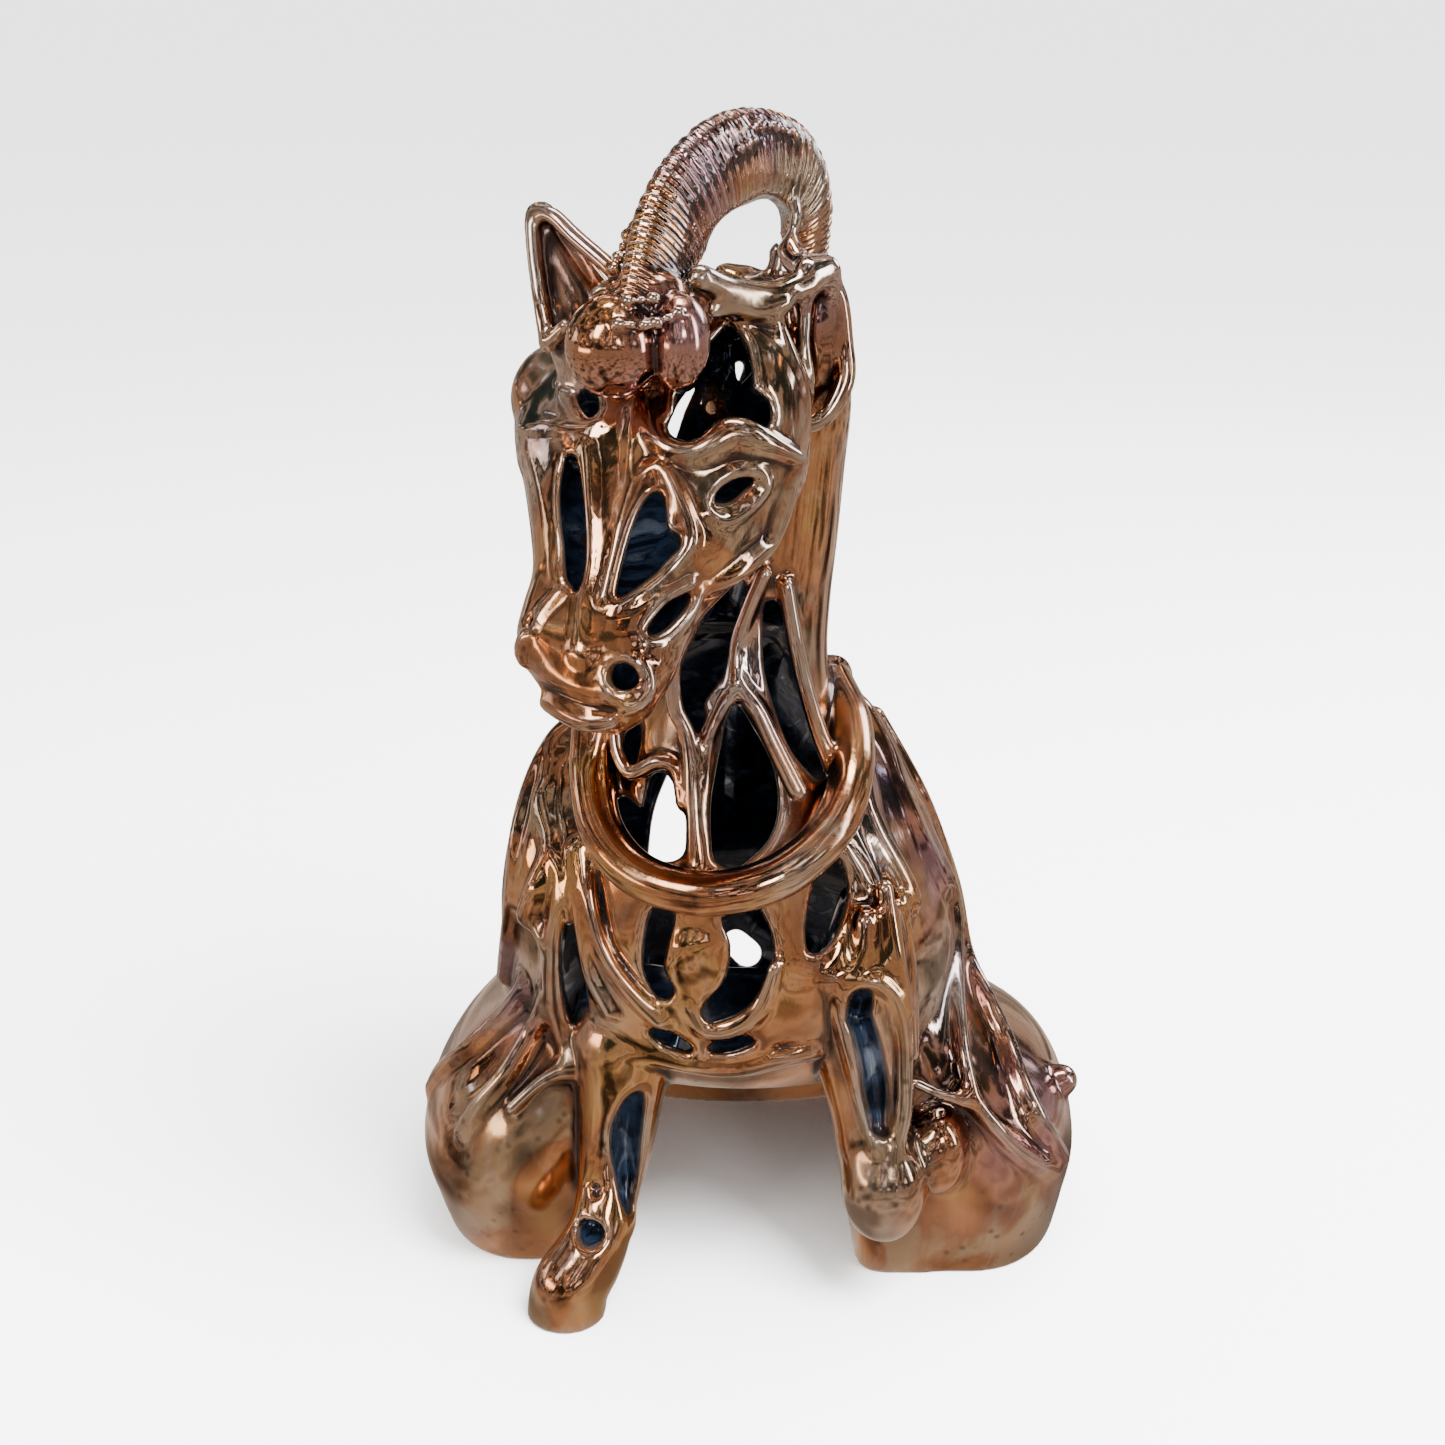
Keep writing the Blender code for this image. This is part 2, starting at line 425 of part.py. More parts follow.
def opening_cutters(work):
    """Every opening through the wall, cut along the viewer's sight lines, or straight back through the flank."""
    for number, rows in enumerate(NECK_WINDOWS + CHEST_WINDOWS):
        window(f"opening {number}", rows, work)
    for number, rows in enumerate(HEAD_WINDOWS):
        window(f"head opening {number}", on_head(rows), work)
    for number, rows in enumerate(FAR_HEAD_WINDOWS):
        window(f"far head opening {number}", rows, work, depth=12.0)
    for number, rows in enumerate(FAR_BODY_WINDOWS):
        window(f"far body opening {number}", rows, work, depth=4.0)
    for number, rows in enumerate(BACK_WINDOWS):
        rod(f"back opening {number}", rows, work, along=Vector((0, 1, 0)), stretch=4.0)


def raised_work(work):
    """Everything that stands on the skin or bridges its openings."""
    rod("collar", COLLAR, work, radius=COLLAR_RADIUS)
    for number, rows in enumerate(NECK_STRAPS + FOLDS + THIN_BARS + BACK_BARS):
        rod(f"bar {number}", rows, work)
    for number, rows in enumerate(EAR_BARS):
        rod(f"ear bar {number}", rows, work, radius=EAR_BAR_RADIUS)
    rod("mane crest", MANE_CREST, work, along=MANE_SIDEWAYS, stretch=MANE_FLATNESS)
    rod("left ear", LEFT_EAR, work, along=EAR_THROUGH, stretch=0.6)
    for number, rows in enumerate(FACE_BARS):
        rod(f"face bar {number}", on_head(rows), work)
    for number, (centre, radii) in enumerate(KNOBS):
        ball(f"knob {number}", centre, radii, work)
    for number, (centre, radii) in enumerate(FACE_KNOBS):
        ball(f"face knob {number}", on_head([(*centre, 0)])[0][:3], radii, work)
    loft("left foreleg", LEFT_FORELEG, work, power=2.4)
    loft("right foreleg", RIGHT_FORELEG, work, power=2.4)
    rod("left foot", LEFT_FOOT, work)
    for number, rows in enumerate(RIGHT_LEG_BARS):
        rod(f"right foreleg bar {number}", rows, work)


def fuse(name, pieces, voxel, target):
    """Joins closed meshes into one body on a voxel grid, as wax pieces melt together."""
    meshes = [piece.data for piece in pieces]
    work = bmesh.new()
    for mesh in meshes:
        work.from_mesh(mesh)
    joined = bpy.data.meshes.new(name)
    work.to_mesh(joined)
    work.free()
    obj = link(name, joined, target)
    remesh = obj.modifiers.new("melt together", "REMESH")
    remesh.mode = "VOXEL"
    remesh.voxel_size = voxel
    settle(obj)
    return obj


def settle(obj):
    """Replaces an object's mesh by the mesh that its modifiers make of it."""
    mesh = bpy.data.meshes.new_from_object(obj.evaluated_get(bpy.context.evaluated_depsgraph_get()))
    obj.modifiers.clear()
    obj.data = mesh


def subtract(obj, cutter):
    """Cuts one closed mesh out of another."""
    cut = obj.modifiers.new("cut", "BOOLEAN")
    cut.operation = "DIFFERENCE"
    cut.object = cutter
    settle(obj)


def cavity_of(skin, target):
    """The hollow of the casting: the skin moved inward by the wall."""
    cavity = link("cavity", skin.data.copy(), target)
    inward = cavity.modifiers.new("wall", "DISPLACE")
    inward.strength = -WALL
    inward.mid_level = 0
    clean = cavity.modifiers.new("clean", "REMESH")
    clean.mode = "VOXEL"
    clean.voxel_size = VOXEL
    settle(cavity)
    return cavity


def collection(name, hidden=False):
    """A collection in the scene."""
    made = bpy.data.collections.new(name)
    bpy.context.scene.collection.children.link(made)
    made.hide_render = hidden
    return made


def late_cutters(work):
    """Openings and hollows that go through or into raised work."""
    for number, rows in enumerate(CREST_WINDOWS):
        window(f"crest opening {number}", rows, work)
    window("left slit", LEFT_SLIT, work, depth=3.0)
    window("right leaf", RIGHT_LEAF, work, depth=2.4)
    window("right hole", RIGHT_HOLE, work, depth=4.0)
    rod("nostril", on_head(NOSTRIL), work)
    rod("left ear hollow", LEFT_EAR_HOLLOW, work)
    rod("right ear hollow", RIGHT_EAR_HOLLOW, work)
    for number, rows in enumerate(VALLEYS):
        rod(f"valley {number}", rows, work)
    for number, (centre, radii) in enumerate(DENTS):
        ball(f"dent {number}", centre, radii, work)


def made_in(maker, name):
    """The objects that a function makes in a hidden collection of its own."""
    work = collection(name, hidden=True)
    maker(work)
    return list(work.objects)


def cut_at_ground(obj, target):
    """Cuts the casting off flat at the height that it stands on."""
    mesh = bpy.data.meshes.new("ground")
    work = bmesh.new()
    bmesh.ops.create_cube(work, size=1.0)
    bmesh.ops.translate(work, vec=(0, 0, -0.5), verts=work.verts)
    work.to_mesh(mesh)
    work.free()
    subtract(obj, link("ground", mesh, target))


def drop_crumbs(obj):
    """Removes the specks that a voxel grid leaves beside the one large body."""
    work = bmesh.new()
    work.from_mesh(obj.data)
    left = set(work.verts)
    bodies = []
    while left:
        body, edge = set(), {left.pop()}
        while edge:
            body |= edge
            edge = {link_edge.other_vert(vert) for vert in edge for link_edge in vert.link_edges} - body
        left -= body
        bodies.append(body)
    largest = max(bodies, key=len)
    bmesh.ops.delete(work, geom=[vert for vert in work.verts if vert not in largest], context="VERTS")
    work.to_mesh(obj.data)
    work.free()


def thin_out(obj):
    """Takes the voxel steps out of the surface and keeps only the triangles that its shape needs."""
    calm = obj.modifiers.new("calm", "SMOOTH")
    calm.factor = 0.5
    calm.iterations = 3
    settle(obj)
    corners = sum(len(face.vertices) - 2 for face in obj.data.polygons)
    fewer = obj.modifiers.new("fewer", "DECIMATE")
    fewer.ratio = TRIANGLES / corners
    fewer.use_collapse_triangulate = True
    settle(obj)


def place(obj):
    """Turns the casting to its own axes, with its origin under the middle of its bounding box."""
    obj.data.transform(Matrix.Rotation(TURN, 4, "Z"))
    points = np.array([vertex.co for vertex in obj.data.vertices])
    low, high = points.min(axis=0), points.max(axis=0)
    middle = (low + high) / 2
    obj.data.transform(Matrix.Translation((-middle[0], -middle[1], -low[2])))


def bronze():
    """Polished bronze with a copper lustre."""
    material = bpy.data.materials.new("lustre bronze")
    material.use_nodes = True
    surface = material.node_tree.nodes["Principled BSDF"]
    surface.inputs["Base Color"].default_value = (0.62, 0.33, 0.19, 1)
    surface.inputs["Metallic"].default_value = 1.0
    surface.inputs["Roughness"].default_value = 0.22
    return material


def main():
    """Builds the horse."""
    for old in list(bpy.data.objects):
        bpy.data.objects.remove(old)
    cutters = collection("cutters", hidden=True)
    horse_parts = collection("openwork horse")

    skin = fuse("skin", made_in(skin_lofts, "skin lofts"), VOXEL, cutters)
    subtract(skin, cavity_of(skin, cutters))
    openings = fuse("openings", made_in(opening_cutters, "opening cutters"), CUTTER_VOXEL, cutters)
    subtract(skin, openings)
    rough = fuse("rough", [skin] + made_in(raised_work, "raised work"), VOXEL, cutters)
    subtract(rough, fuse("late openings", made_in(late_cutters, "late cutters"), CUTTER_VOXEL, cutters))
    horse = fuse("horse", [rough], VOXEL, horse_parts)
    drop_crumbs(horse)
    thin_out(horse)
    cut_at_ground(horse, cutters)
    place(horse)
    horse.data.materials.clear()
    horse.data.materials.append(bronze())


if __name__ == "__main__":
    main()
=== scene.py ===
"""The looks of the openwork bronze horse: one polished casting on a pale floor.

The casting is worked out as a distance field: a grid of numbers that says how far each point of space lies
from the metal, negative inside it. Bars, lofts and knobs are melted together and openings are cut from
them there, and the zero surface of the grid becomes the mesh. All places are in design millimetres, in the
axes of a viewer who stands 15 degrees off the chest (x across to the right, y away, z up), and are turned
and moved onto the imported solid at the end.
"""

import logging
import math
from dataclasses import dataclass, field
from enum import Enum
from typing import Optional, Sequence

import bpy
import numpy as np
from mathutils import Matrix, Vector


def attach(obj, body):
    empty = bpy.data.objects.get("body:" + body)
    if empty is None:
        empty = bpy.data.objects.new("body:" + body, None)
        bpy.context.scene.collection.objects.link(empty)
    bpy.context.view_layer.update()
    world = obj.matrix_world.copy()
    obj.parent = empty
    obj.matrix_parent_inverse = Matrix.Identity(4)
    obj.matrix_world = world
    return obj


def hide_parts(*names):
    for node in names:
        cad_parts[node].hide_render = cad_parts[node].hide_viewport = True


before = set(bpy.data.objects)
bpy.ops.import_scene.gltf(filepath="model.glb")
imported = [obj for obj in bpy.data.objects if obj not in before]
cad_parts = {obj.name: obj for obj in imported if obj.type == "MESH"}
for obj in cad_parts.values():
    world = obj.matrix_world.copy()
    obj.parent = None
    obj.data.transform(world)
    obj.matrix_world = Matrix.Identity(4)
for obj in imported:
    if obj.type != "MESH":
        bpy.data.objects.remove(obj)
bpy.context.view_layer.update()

log = logging.getLogger("horse")

Row = Sequence[float]
Rows = Sequence[Row]
Block = tuple[slice, slice, slice]
Shape = tuple[Block, np.ndarray]
Knob = tuple[Row, Row]

TURN = math.radians(15)
VIEWER = np.array([10.0, -757.0, 484.0])
CAD_ORIGIN = np.array([14.32, 7.37, 0.0])
CAD_AXES = np.array([[math.cos(TURN), math.sin(TURN), 0], [-math.sin(TURN), math.cos(TURN), 0], [0, 0, 1]])
PER_METRE = 1000
WALL = 6.0
FAR = 60.0


def to_frame(points: np.ndarray) -> np.ndarray:
    """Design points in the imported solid's axes and in metres: each row p becomes (p - origin) R / 1000."""
    return (points - CAD_ORIGIN) @ CAD_AXES / PER_METRE


def dot(x: np.ndarray, y: np.ndarray, z: np.ndarray, way: Row) -> np.ndarray:
    """The scalar product of each place with a direction."""
    return x * way[0] + y * way[1] + z * way[2]


def smooth_curve(rows: Rows, count: int) -> np.ndarray:
    """Points of a Catmull-Rom curve through the rows.

    Args:
        rows: The control rows, of any width.
        count: How many points to give.

    Returns:
        An array of count rows. Each span is the usual cubic of its four neighbouring rows.
    """
    table = np.asarray(rows, dtype=float)
    padded = np.vstack([2 * table[0] - table[1], table, 2 * table[-1] - table[-2]])
    place = np.linspace(0, len(table) - 1, count)
    span = np.minimum(place.astype(int), len(table) - 2)
    t = (place - span)[:, None]
    before, start, end, after = (padded[span + i] for i in range(4))
    return 0.5 * (
        2 * start
        + (end - before) * t
        + (2 * before - 5 * start + 4 * end - after) * t**2
        + (3 * start - before - 3 * end + after) * t**3
    )


def melt(a: np.ndarray, b: np.ndarray, fillet: float) -> np.ndarray:
    """The smaller of two distances, rounded where they are within a fillet of each other.

    Args:
        a: The first distances.
        b: The second distances.
        fillet: How wide the rounding is, in millimetres.

    Returns:
        min(a, b) less a quarter of the squared shortfall of their difference from the fillet.
    """
    if fillet <= 0:
        return np.minimum(a, b)
    near = np.maximum(fillet - np.abs(a - b), 0) / fillet
    return np.minimum(a, b) - near * near * fillet * 0.25


def nearest_run(x: np.ndarray, y: np.ndarray, z: np.ndarray, curve: np.ndarray) -> np.ndarray:
    """How far along a curve its nearest point lies, for each of many places.

    Args:
        x: The places' first coordinates, which broadcast with the others.
        y: Their second.
        z: Their third.
        curve: Points of the curve, x, y and z first.

    Returns:
        The length of the curve up to the nearest point of its straight spans.
    """
    least: np.ndarray = np.float32(1e9)
    run: np.ndarray = np.float32(0)
    start = 0.0
    for here, there in zip(curve[:-1, :3], curve[1:, :3]):
        span = there - here
        length = float(np.linalg.norm(span))
        t = np.clip(dot(x - here[0], y - here[1], z - here[2], span) / length**2, 0, 1)
        gap = sum((axis - at - way * t) ** 2 for axis, at, way in zip((x, y, z), here, span))
        closer = gap < least
        run = np.where(closer, start + t * length, run)
        least = np.where(closer, gap, least)
        start += length
    return run


@dataclass(frozen=True)
class Axes:
    """An origin and three unit axes in design millimetres."""

    origin: np.ndarray
    u: np.ndarray
    v: np.ndarray
    w: np.ndarray

    def place(self, u: float, v: float, w: float) -> np.ndarray:
        """The design point at these coordinates."""
        return self.origin + self.u * u + self.v * v + self.w * w

    def rows(self, rows: Rows) -> list[tuple[float, ...]]:
        """Rows of (u, v, w, radius) as rows of (x, y, z, radius)."""
        return [(*self.place(*row[:3]), *row[3:]) for row in rows]


UPRIGHT = Axes(np.zeros(3), *np.eye(3))


def head_axes() -> Axes:
    """The head's axes: across to the horse's left, out of the face, and down from the poll to the muzzle."""
    across = np.array([0.917, -0.399, 0.0])
    down = np.array([-0.253, -0.583, -0.772])
    down /= np.linalg.norm(down)
    out = np.cross(down, across)
    return Axes(np.array([-1.0, -40.0, 369.0]), across, out / np.linalg.norm(out), down)


HEAD = head_axes()


def sight(rows: Rows) -> np.ndarray:
    """The viewer's line of sight to the middle of some rows, as a unit vector."""
    line = np.asarray([row[:3] for row in rows], dtype=float).mean(axis=0) - VIEWER
    return line / np.linalg.norm(line)


class Casting:
    """A grid of distances to the metal, in design millimetres."""

    def __init__(self, low: Row, high: Row, step: float) -> None:
        """Makes an empty grid.

        Args:
            low: The grid's lowest corner.
            high: The corner that it reaches at least.
            step: The distance between grid points.
        """
        self.low = np.array(low, dtype=float)
        self.step = step
        count = np.ceil((np.array(high) - self.low) / step).astype(int) + 1
        self.ticks = [(self.low[i] + step * np.arange(count[i])).astype(np.float32) for i in range(3)]
        self.values = np.full(count, FAR, dtype=np.float32)

    def block(self, low: np.ndarray, high: np.ndarray) -> Block:
        """The slices of the grid between two corners."""
        start = np.floor((low - self.low) / self.step).astype(int)
        stop = np.ceil((high - self.low) / self.step).astype(int) + 1
        start, stop = (np.clip(edge, 0, self.values.shape) for edge in (start, stop))
        return tuple(slice(a, b) for a, b in zip(start, stop))

    def places(self, part: Block) -> tuple[np.ndarray, np.ndarray, np.ndarray]:
        """The coordinates of a block of the grid, ready to broadcast."""
        x, y, z = (ticks[cut] for ticks, cut in zip(self.ticks, part))
        return x[:, None, None], y[None, :, None], z[None, None, :]

    def bar(
        self, rows: Rows, along: Optional[np.ndarray] = None, stretch: float = 1.0, margin: float = 8.0
    ) -> Shape:
        """The distance to a round bar that tapers along a curve.

        Args:
            rows: The curve's (x, y, z, radius) rows.
            along: A direction in which the bar is flattened or drawn out.
            stretch: By how much.
            margin: How far around the bar the distance is needed.

        Returns:
            The block of the grid around the bar, and its distances: over short straight spans, the distance
            to the nearest point of the middle line less the radius there.
        """
        table = np.asarray(rows, dtype=float)
        run = np.linalg.norm(np.diff(table[:, :3], axis=0), axis=1).sum()
        curve = smooth_curve(table, int(np.clip(run / 3.0, 4 * len(table), 90)))
        centre, radius = curve[:, :3], np.maximum(curve[:, 3], 0.3)
        reach = np.zeros(3)
        if along is not None:
            along = np.asarray(along, dtype=float) / np.linalg.norm(along)
            reach = np.abs(along) * radius.max() * max(stretch - 1, 0)
        around = radius[:, None] + margin + reach
        whole = self.block((centre - around).min(axis=0), (centre + around).max(axis=0))
        offset = np.array([cut.start for cut in whole])
        nearest = np.full(tuple(cut.stop - cut.start for cut in whole), FAR, dtype=np.float32)
        for i in range(len(centre) - 1):
            ends = centre[i : i + 2]
            part = self.block((ends - around[i : i + 2]).min(axis=0), (ends + around[i : i + 2]).max(axis=0))
            if any(cut.stop <= cut.start for cut in part):
                continue
            x, y, z = self.places(part)
            if along is not None:
                squeeze = dot(x, y, z, along) * (1 / stretch - 1)
                x, y, z = (axis + squeeze * way for axis, way in zip((x, y, z), along))
                ends = ends + (ends @ along)[:, None] * (1 / stretch - 1) * along
            span = ends[1] - ends[0]
            square = max(float(span @ span), 1e-9)
            t = np.clip(dot(x - ends[0][0], y - ends[0][1], z - ends[0][2], span) / square, 0, 1)
            gap = sum((axis - start - way * t) ** 2 for axis, start, way in zip((x, y, z), ends[0], span))
            away = np.sqrt(gap) - (radius[i] + (radius[i + 1] - radius[i]) * t)
            inner = tuple(slice(cut.start - o, cut.stop - o) for cut, o in zip(part, offset))
            nearest[inner] = np.minimum(nearest[inner], away)
        return whole, nearest

    def loft(self, rows: Rows, axes: Axes = UPRIGHT, power: float = 2.0, margin: float = 14.0) -> Shape:
        """The distance to a skin through superellipses.

        Args:
            rows: (along w, centre u, centre v, half width u, half width v), in rising order of w.
            axes: The loft's own axes.
            power: 2 for ellipses, more for squarer ones.
            margin: How far around the skin the distance is needed.

        Returns:
            The block and its distances: the superellipse's value less 1, over the length of its slope.
        """
        table = np.asarray(rows, dtype=float)
        corners = np.array(
            [
                axes.place(row[1] + a * row[3], row[2] + b * row[4], row[0])
                for row in table
                for a in (-1, 1)
                for b in (-1, 1)
            ]
        )
        part = self.block(corners.min(axis=0) - margin, corners.max(axis=0) + margin)
        x, y, z = self.places(part)
        x, y, z = (axis - start for axis, start in zip((x, y, z), axes.origin.astype(np.float32)))
        u, v, w = (dot(x, y, z, way) for way in (axes.u, axes.v, axes.w))
        fine = smooth_curve(table, 90)
        level = np.clip(w, fine[0, 0], fine[-1, 0])
        centre_u, centre_v, half_u, half_v = (
            np.interp(level, fine[:, 0], fine[:, i]).astype(np.float32) for i in range(1, 5)
        )
        a, b = np.abs((u - centre_u) / half_u), np.abs((v - centre_v) / half_v)
        size = (a**power + b**power) ** (1 / power) + 1e-6
        slope_u = (a / size) ** (power - 1) / half_u
        slope_v = (b / size) ** (power - 1) / half_v
        away = (size - 1) / np.sqrt(slope_u**2 + slope_v**2 + 1e-12)
        away = np.maximum(away, -np.minimum(half_u, half_v))
        past = np.maximum(fine[0, 0] - w, w - fine[-1, 0])
        away = np.where(past > 0, np.sqrt(np.maximum(away, 0) ** 2 + past**2), np.maximum(away, past))
        return part, away.astype(np.float32)

    def knob(self, centre: Row, radii: Row, axes: Axes = UPRIGHT, margin: float = 8.0) -> Shape:
        """The distance to an ellipsoid: q (q - 1) over the slope of q, where q is its own radius.

        Args:
            centre: Its centre in the axes given.
            radii: Its half sizes along them.
            axes: Its own axes.
            margin: How far around it the distance is needed.

        Returns:
            The block and its distances.
        """
        middle = axes.place(*centre)
        reach = np.full(3, max(radii) + margin)
        part = self.block(middle - reach, middle + reach)
        x, y, z = (axis - start for axis, start in zip(self.places(part), middle))
        local = [dot(x, y, z, way) for way in (axes.u, axes.v, axes.w)]
        size = np.sqrt(sum((axis / half) ** 2 for axis, half in zip(local, radii)))
        slope = np.sqrt(sum((axis / half**2) ** 2 for axis, half in zip(local, radii))) + 1e-9
        return part, (size * (size - 1) / slope).astype(np.float32)

    def add(self, shape: Shape, fillet: float = 4.0) -> None:
        """Melts a shape onto the metal."""
        part, away = shape
        self.values[part] = melt(self.values[part], away, fillet)

    def cut(self, shape: Shape, fillet: float = 2.0) -> None:
        """Takes a shape out of the metal, with a rounded edge."""
        part, away = shape
        self.values[part] = -melt(-self.values[part], away, fillet)

    def window(self, rows: Rows, fillet: float = 2.5, depth: float = 5.0) -> None:
        """Cuts an opening through the wall: a bar drawn out along the viewer's line of sight."""
        self.cut(self.bar(rows, along=sight(rows), stretch=depth, margin=5.0), fillet)

    def add_bars(self, bars: Sequence[Rows], fillet: float) -> None:
        """Melts some bars onto the metal."""
        for rows in bars:
            self.add(self.bar(rows), fillet)

    def add_knobs(self, knobs: Sequence[Knob], fillet: float, axes: Axes = UPRIGHT) -> None:
        """Melts some ellipsoids onto the metal."""
        for centre, radii in knobs:
            self.add(self.knob(centre, radii, axes), fillet)

    def cut_bars(self, bars: Sequence[Rows], fillet: float) -> None:
        """Takes some bars out of the metal."""
        for rows in bars:
            self.cut(self.bar(rows), fillet)

    def even_out(self) -> None:
        """Divides the values by the length of their slope, so that they are true distances near the skin."""
        slope = np.sqrt(sum(np.gradient(self.values, self.step, axis=i) ** 2 for i in range(3)))
        self.values /= np.clip(slope, 0.4, 3.0)

    def hollow(self, wall: float) -> None:
        """Keeps only a wall of the metal, measured inward from the skin."""
        self.values = np.maximum(self.values, -(self.values + wall))

    def stand(self) -> None:
        """Cuts the metal off flat at the ground."""
        self.values = np.maximum(self.values, -self.ticks[2][None, None, :])

    def soften(self, rounds: int) -> None:
        """Averages each value with its neighbours, weights 1, 2, 1 along each axis."""
        for _ in range(rounds):
            for axis in range(3):
                padded = np.moveaxis(self.values, axis, 0)
                padded[1:-1] = 0.25 * padded[:-2] + 0.5 * padded[1:-1] + 0.25 * padded[2:]

    def read(self, points: np.ndarray) -> np.ndarray:
        """The distances at some points, mixed from the eight grid values around each."""
        place = (points - self.low) / self.step
        corner = np.clip(np.floor(place).astype(int), 0, np.array(self.values.shape) - 2)
        t = np.clip(place - corner, 0, 1)
        found = np.zeros(len(points))
        for i in (0, 1):
            for j in (0, 1):
                for k in (0, 1):
                    weight = (
                        (t[:, 0] if i else 1 - t[:, 0])
                        * (t[:, 1] if j else 1 - t[:, 1])
                        * (t[:, 2] if k else 1 - t[:, 2])
                    )
                    found += weight * self.values[corner[:, 0] + i, corner[:, 1] + j, corner[:, 2] + k]
        return found

    def slope(self, points: np.ndarray, reach: float) -> np.ndarray:
        """The direction in which the distance grows fastest at some points, as unit vectors."""
        away = np.stack(
            [self.read(points + reach * way) - self.read(points - reach * way) for way in np.eye(3)], axis=1
        )
        return away / np.maximum(np.linalg.norm(away, axis=1, keepdims=True), 1e-9)

    def surface(self) -> tuple[np.ndarray, np.ndarray]:
        """The zero surface as quads.

        Returns:
            Points and quads. Each grid cell that the surface crosses gets one point, at the mean of the
            places where its edges cross zero, and each crossed grid edge gets the quad of its four cells.
        """
        inside = self.values < 0
        size = np.array(self.values.shape)
        corners = [(i, j, k) for i in (0, 1) for j in (0, 1) for k in (0, 1)]
        filled = sum(
            inside[i : size[0] - 1 + i, j : size[1] - 1 + j, k : size[2] - 1 + k].astype(np.uint8)
            for i, j, k in corners
        )
        crossed = (filled > 0) & (filled < 8)
        cells = np.argwhere(crossed)
        number = np.full(crossed.shape, -1, dtype=np.int32)
        number[crossed] = np.arange(len(cells))
        value = {c: self.values[tuple((cells + c).T)].astype(float) for c in corners}
        total, count = np.zeros((len(cells), 3)), np.zeros(len(cells))
        for corner in corners:
            for axis in range(3):
                if corner[axis]:
                    continue
                other = tuple(c + (i == axis) for i, c in enumerate(corner))
                a, b = value[corner], value[other]
                hit = (a < 0) != (b < 0)
                along = np.where(hit, a / np.where(hit, a - b, 1), 0)
                spot = np.tile(np.array(corner, dtype=float), (len(cells), 1))
                spot[:, axis] += along
                total += spot * hit[:, None]
                count += hit
        points = self.low + self.step * (cells + total / count[:, None])
        quads = []
        for axis in range(3):
            side, other = (axis + 1) % 3, (axis + 2) % 3
            first, second = [slice(1, -1)] * 3, [slice(1, -1)] * 3
            first[axis], second[axis] = slice(0, -1), slice(1, None)
            start, end = inside[tuple(first)], inside[tuple(second)]
            edges = np.argwhere(start != end)
            base = edges.copy()
            base[:, side] += 1
            base[:, other] += 1
            ring = []
            for back, down in ((1, 1), (0, 1), (0, 0), (1, 0)):
                cell = base.copy()
                cell[:, side] -= back
                cell[:, other] -= down
                ring.append(number[tuple(cell.T)])
            quad = np.stack(ring, axis=1)
            outward = start[tuple(edges.T)]
            quad[~outward] = quad[~outward][:, ::-1]
            quads.append(quad)
        return points, np.vstack(quads)


@dataclass
class BodyForm:
    """The closed outer form: torso, haunches, rump and neck.

    A row of a form is (height, centre x, centre y, half width x, half depth y).
    """

    torso: Rows = (
        (80, 18, 25, 80, 74), (90, 17, 24, 86, 82), (103, 15, 20, 89, 86), (125, 13, 16, 88, 87),
        (145, 11, 14, 84, 84), (166, 9, 12, 77, 76), (185, 8, 13, 68, 66), (200, 9, 16, 57, 55),
        (218, 12, 24, 40, 36), (232, 16, 30, 18, 18),
    )
    left_haunch: Rows = (
        (-16, -62, 33, 34, 68), (0, -64, 33, 38, 71), (15, -66, 32, 40, 76), (34, -66, 30, 43, 81),
        (58, -58, 24, 41, 75), (85, -45, 19, 34, 63), (110, -31, 20, 33, 58),
    )
    right_haunch: Rows = (
        (-16, 101, 28, 40, 72), (0, 102, 28, 42, 74), (15, 103, 28, 44, 77), (35, 103, 26, 46, 79),
        (60, 97, 17, 43, 69), (85, 79, 8, 34, 54), (115, 62, 8, 30, 46),
    )
    right_corner: Rows = (
        (-16, 77, -16, 17, 31), (0, 77, -16, 17, 31), (20, 76, -15, 16, 30), (40, 74, -12, 14, 28),
        (60, 72, -8, 10, 22),
    )
    rump: Rows = (
        (-16, 20, 110, 58, 26), (0, 20, 110, 64, 28), (30, 20, 106, 75, 34), (60, 20, 96, 78, 40),
        (90, 20, 80, 76, 44), (125, 16, 58, 66, 40),
    )
    neck: Rows = (
        (150, 8, -12, 46, 56), (175, 9, -12, 47, 56), (195, 9, -6, 45, 50), (215, 8, -2, 42, 46),
        (235, 13, 0, 35, 42), (255, 18, 2, 31, 38), (275, 24, 2, 27, 34), (300, 27, 2, 26, 32),
        (325, 29, 2, 26, 31), (345, 28, 2, 24, 29), (360, 26, 0, 19, 22), (368, 26, 0, 10, 12),
    )
    haunch_power: float = 2.3
    corner_power: float = 4.0
    join: float = 8.0

    def add_to(self, casting: Casting) -> None:
        """Melts the closed forms onto each other."""
        casting.add(casting.loft(self.torso), 0)
        casting.add(casting.loft(self.left_haunch, power=self.haunch_power), self.join)
        casting.add(casting.loft(self.right_haunch, power=self.haunch_power), self.join)
        casting.add(casting.loft(self.right_corner, power=self.corner_power), self.join)
        casting.add(casting.loft(self.rump), self.join)
        casting.add(casting.loft(self.neck), self.join)


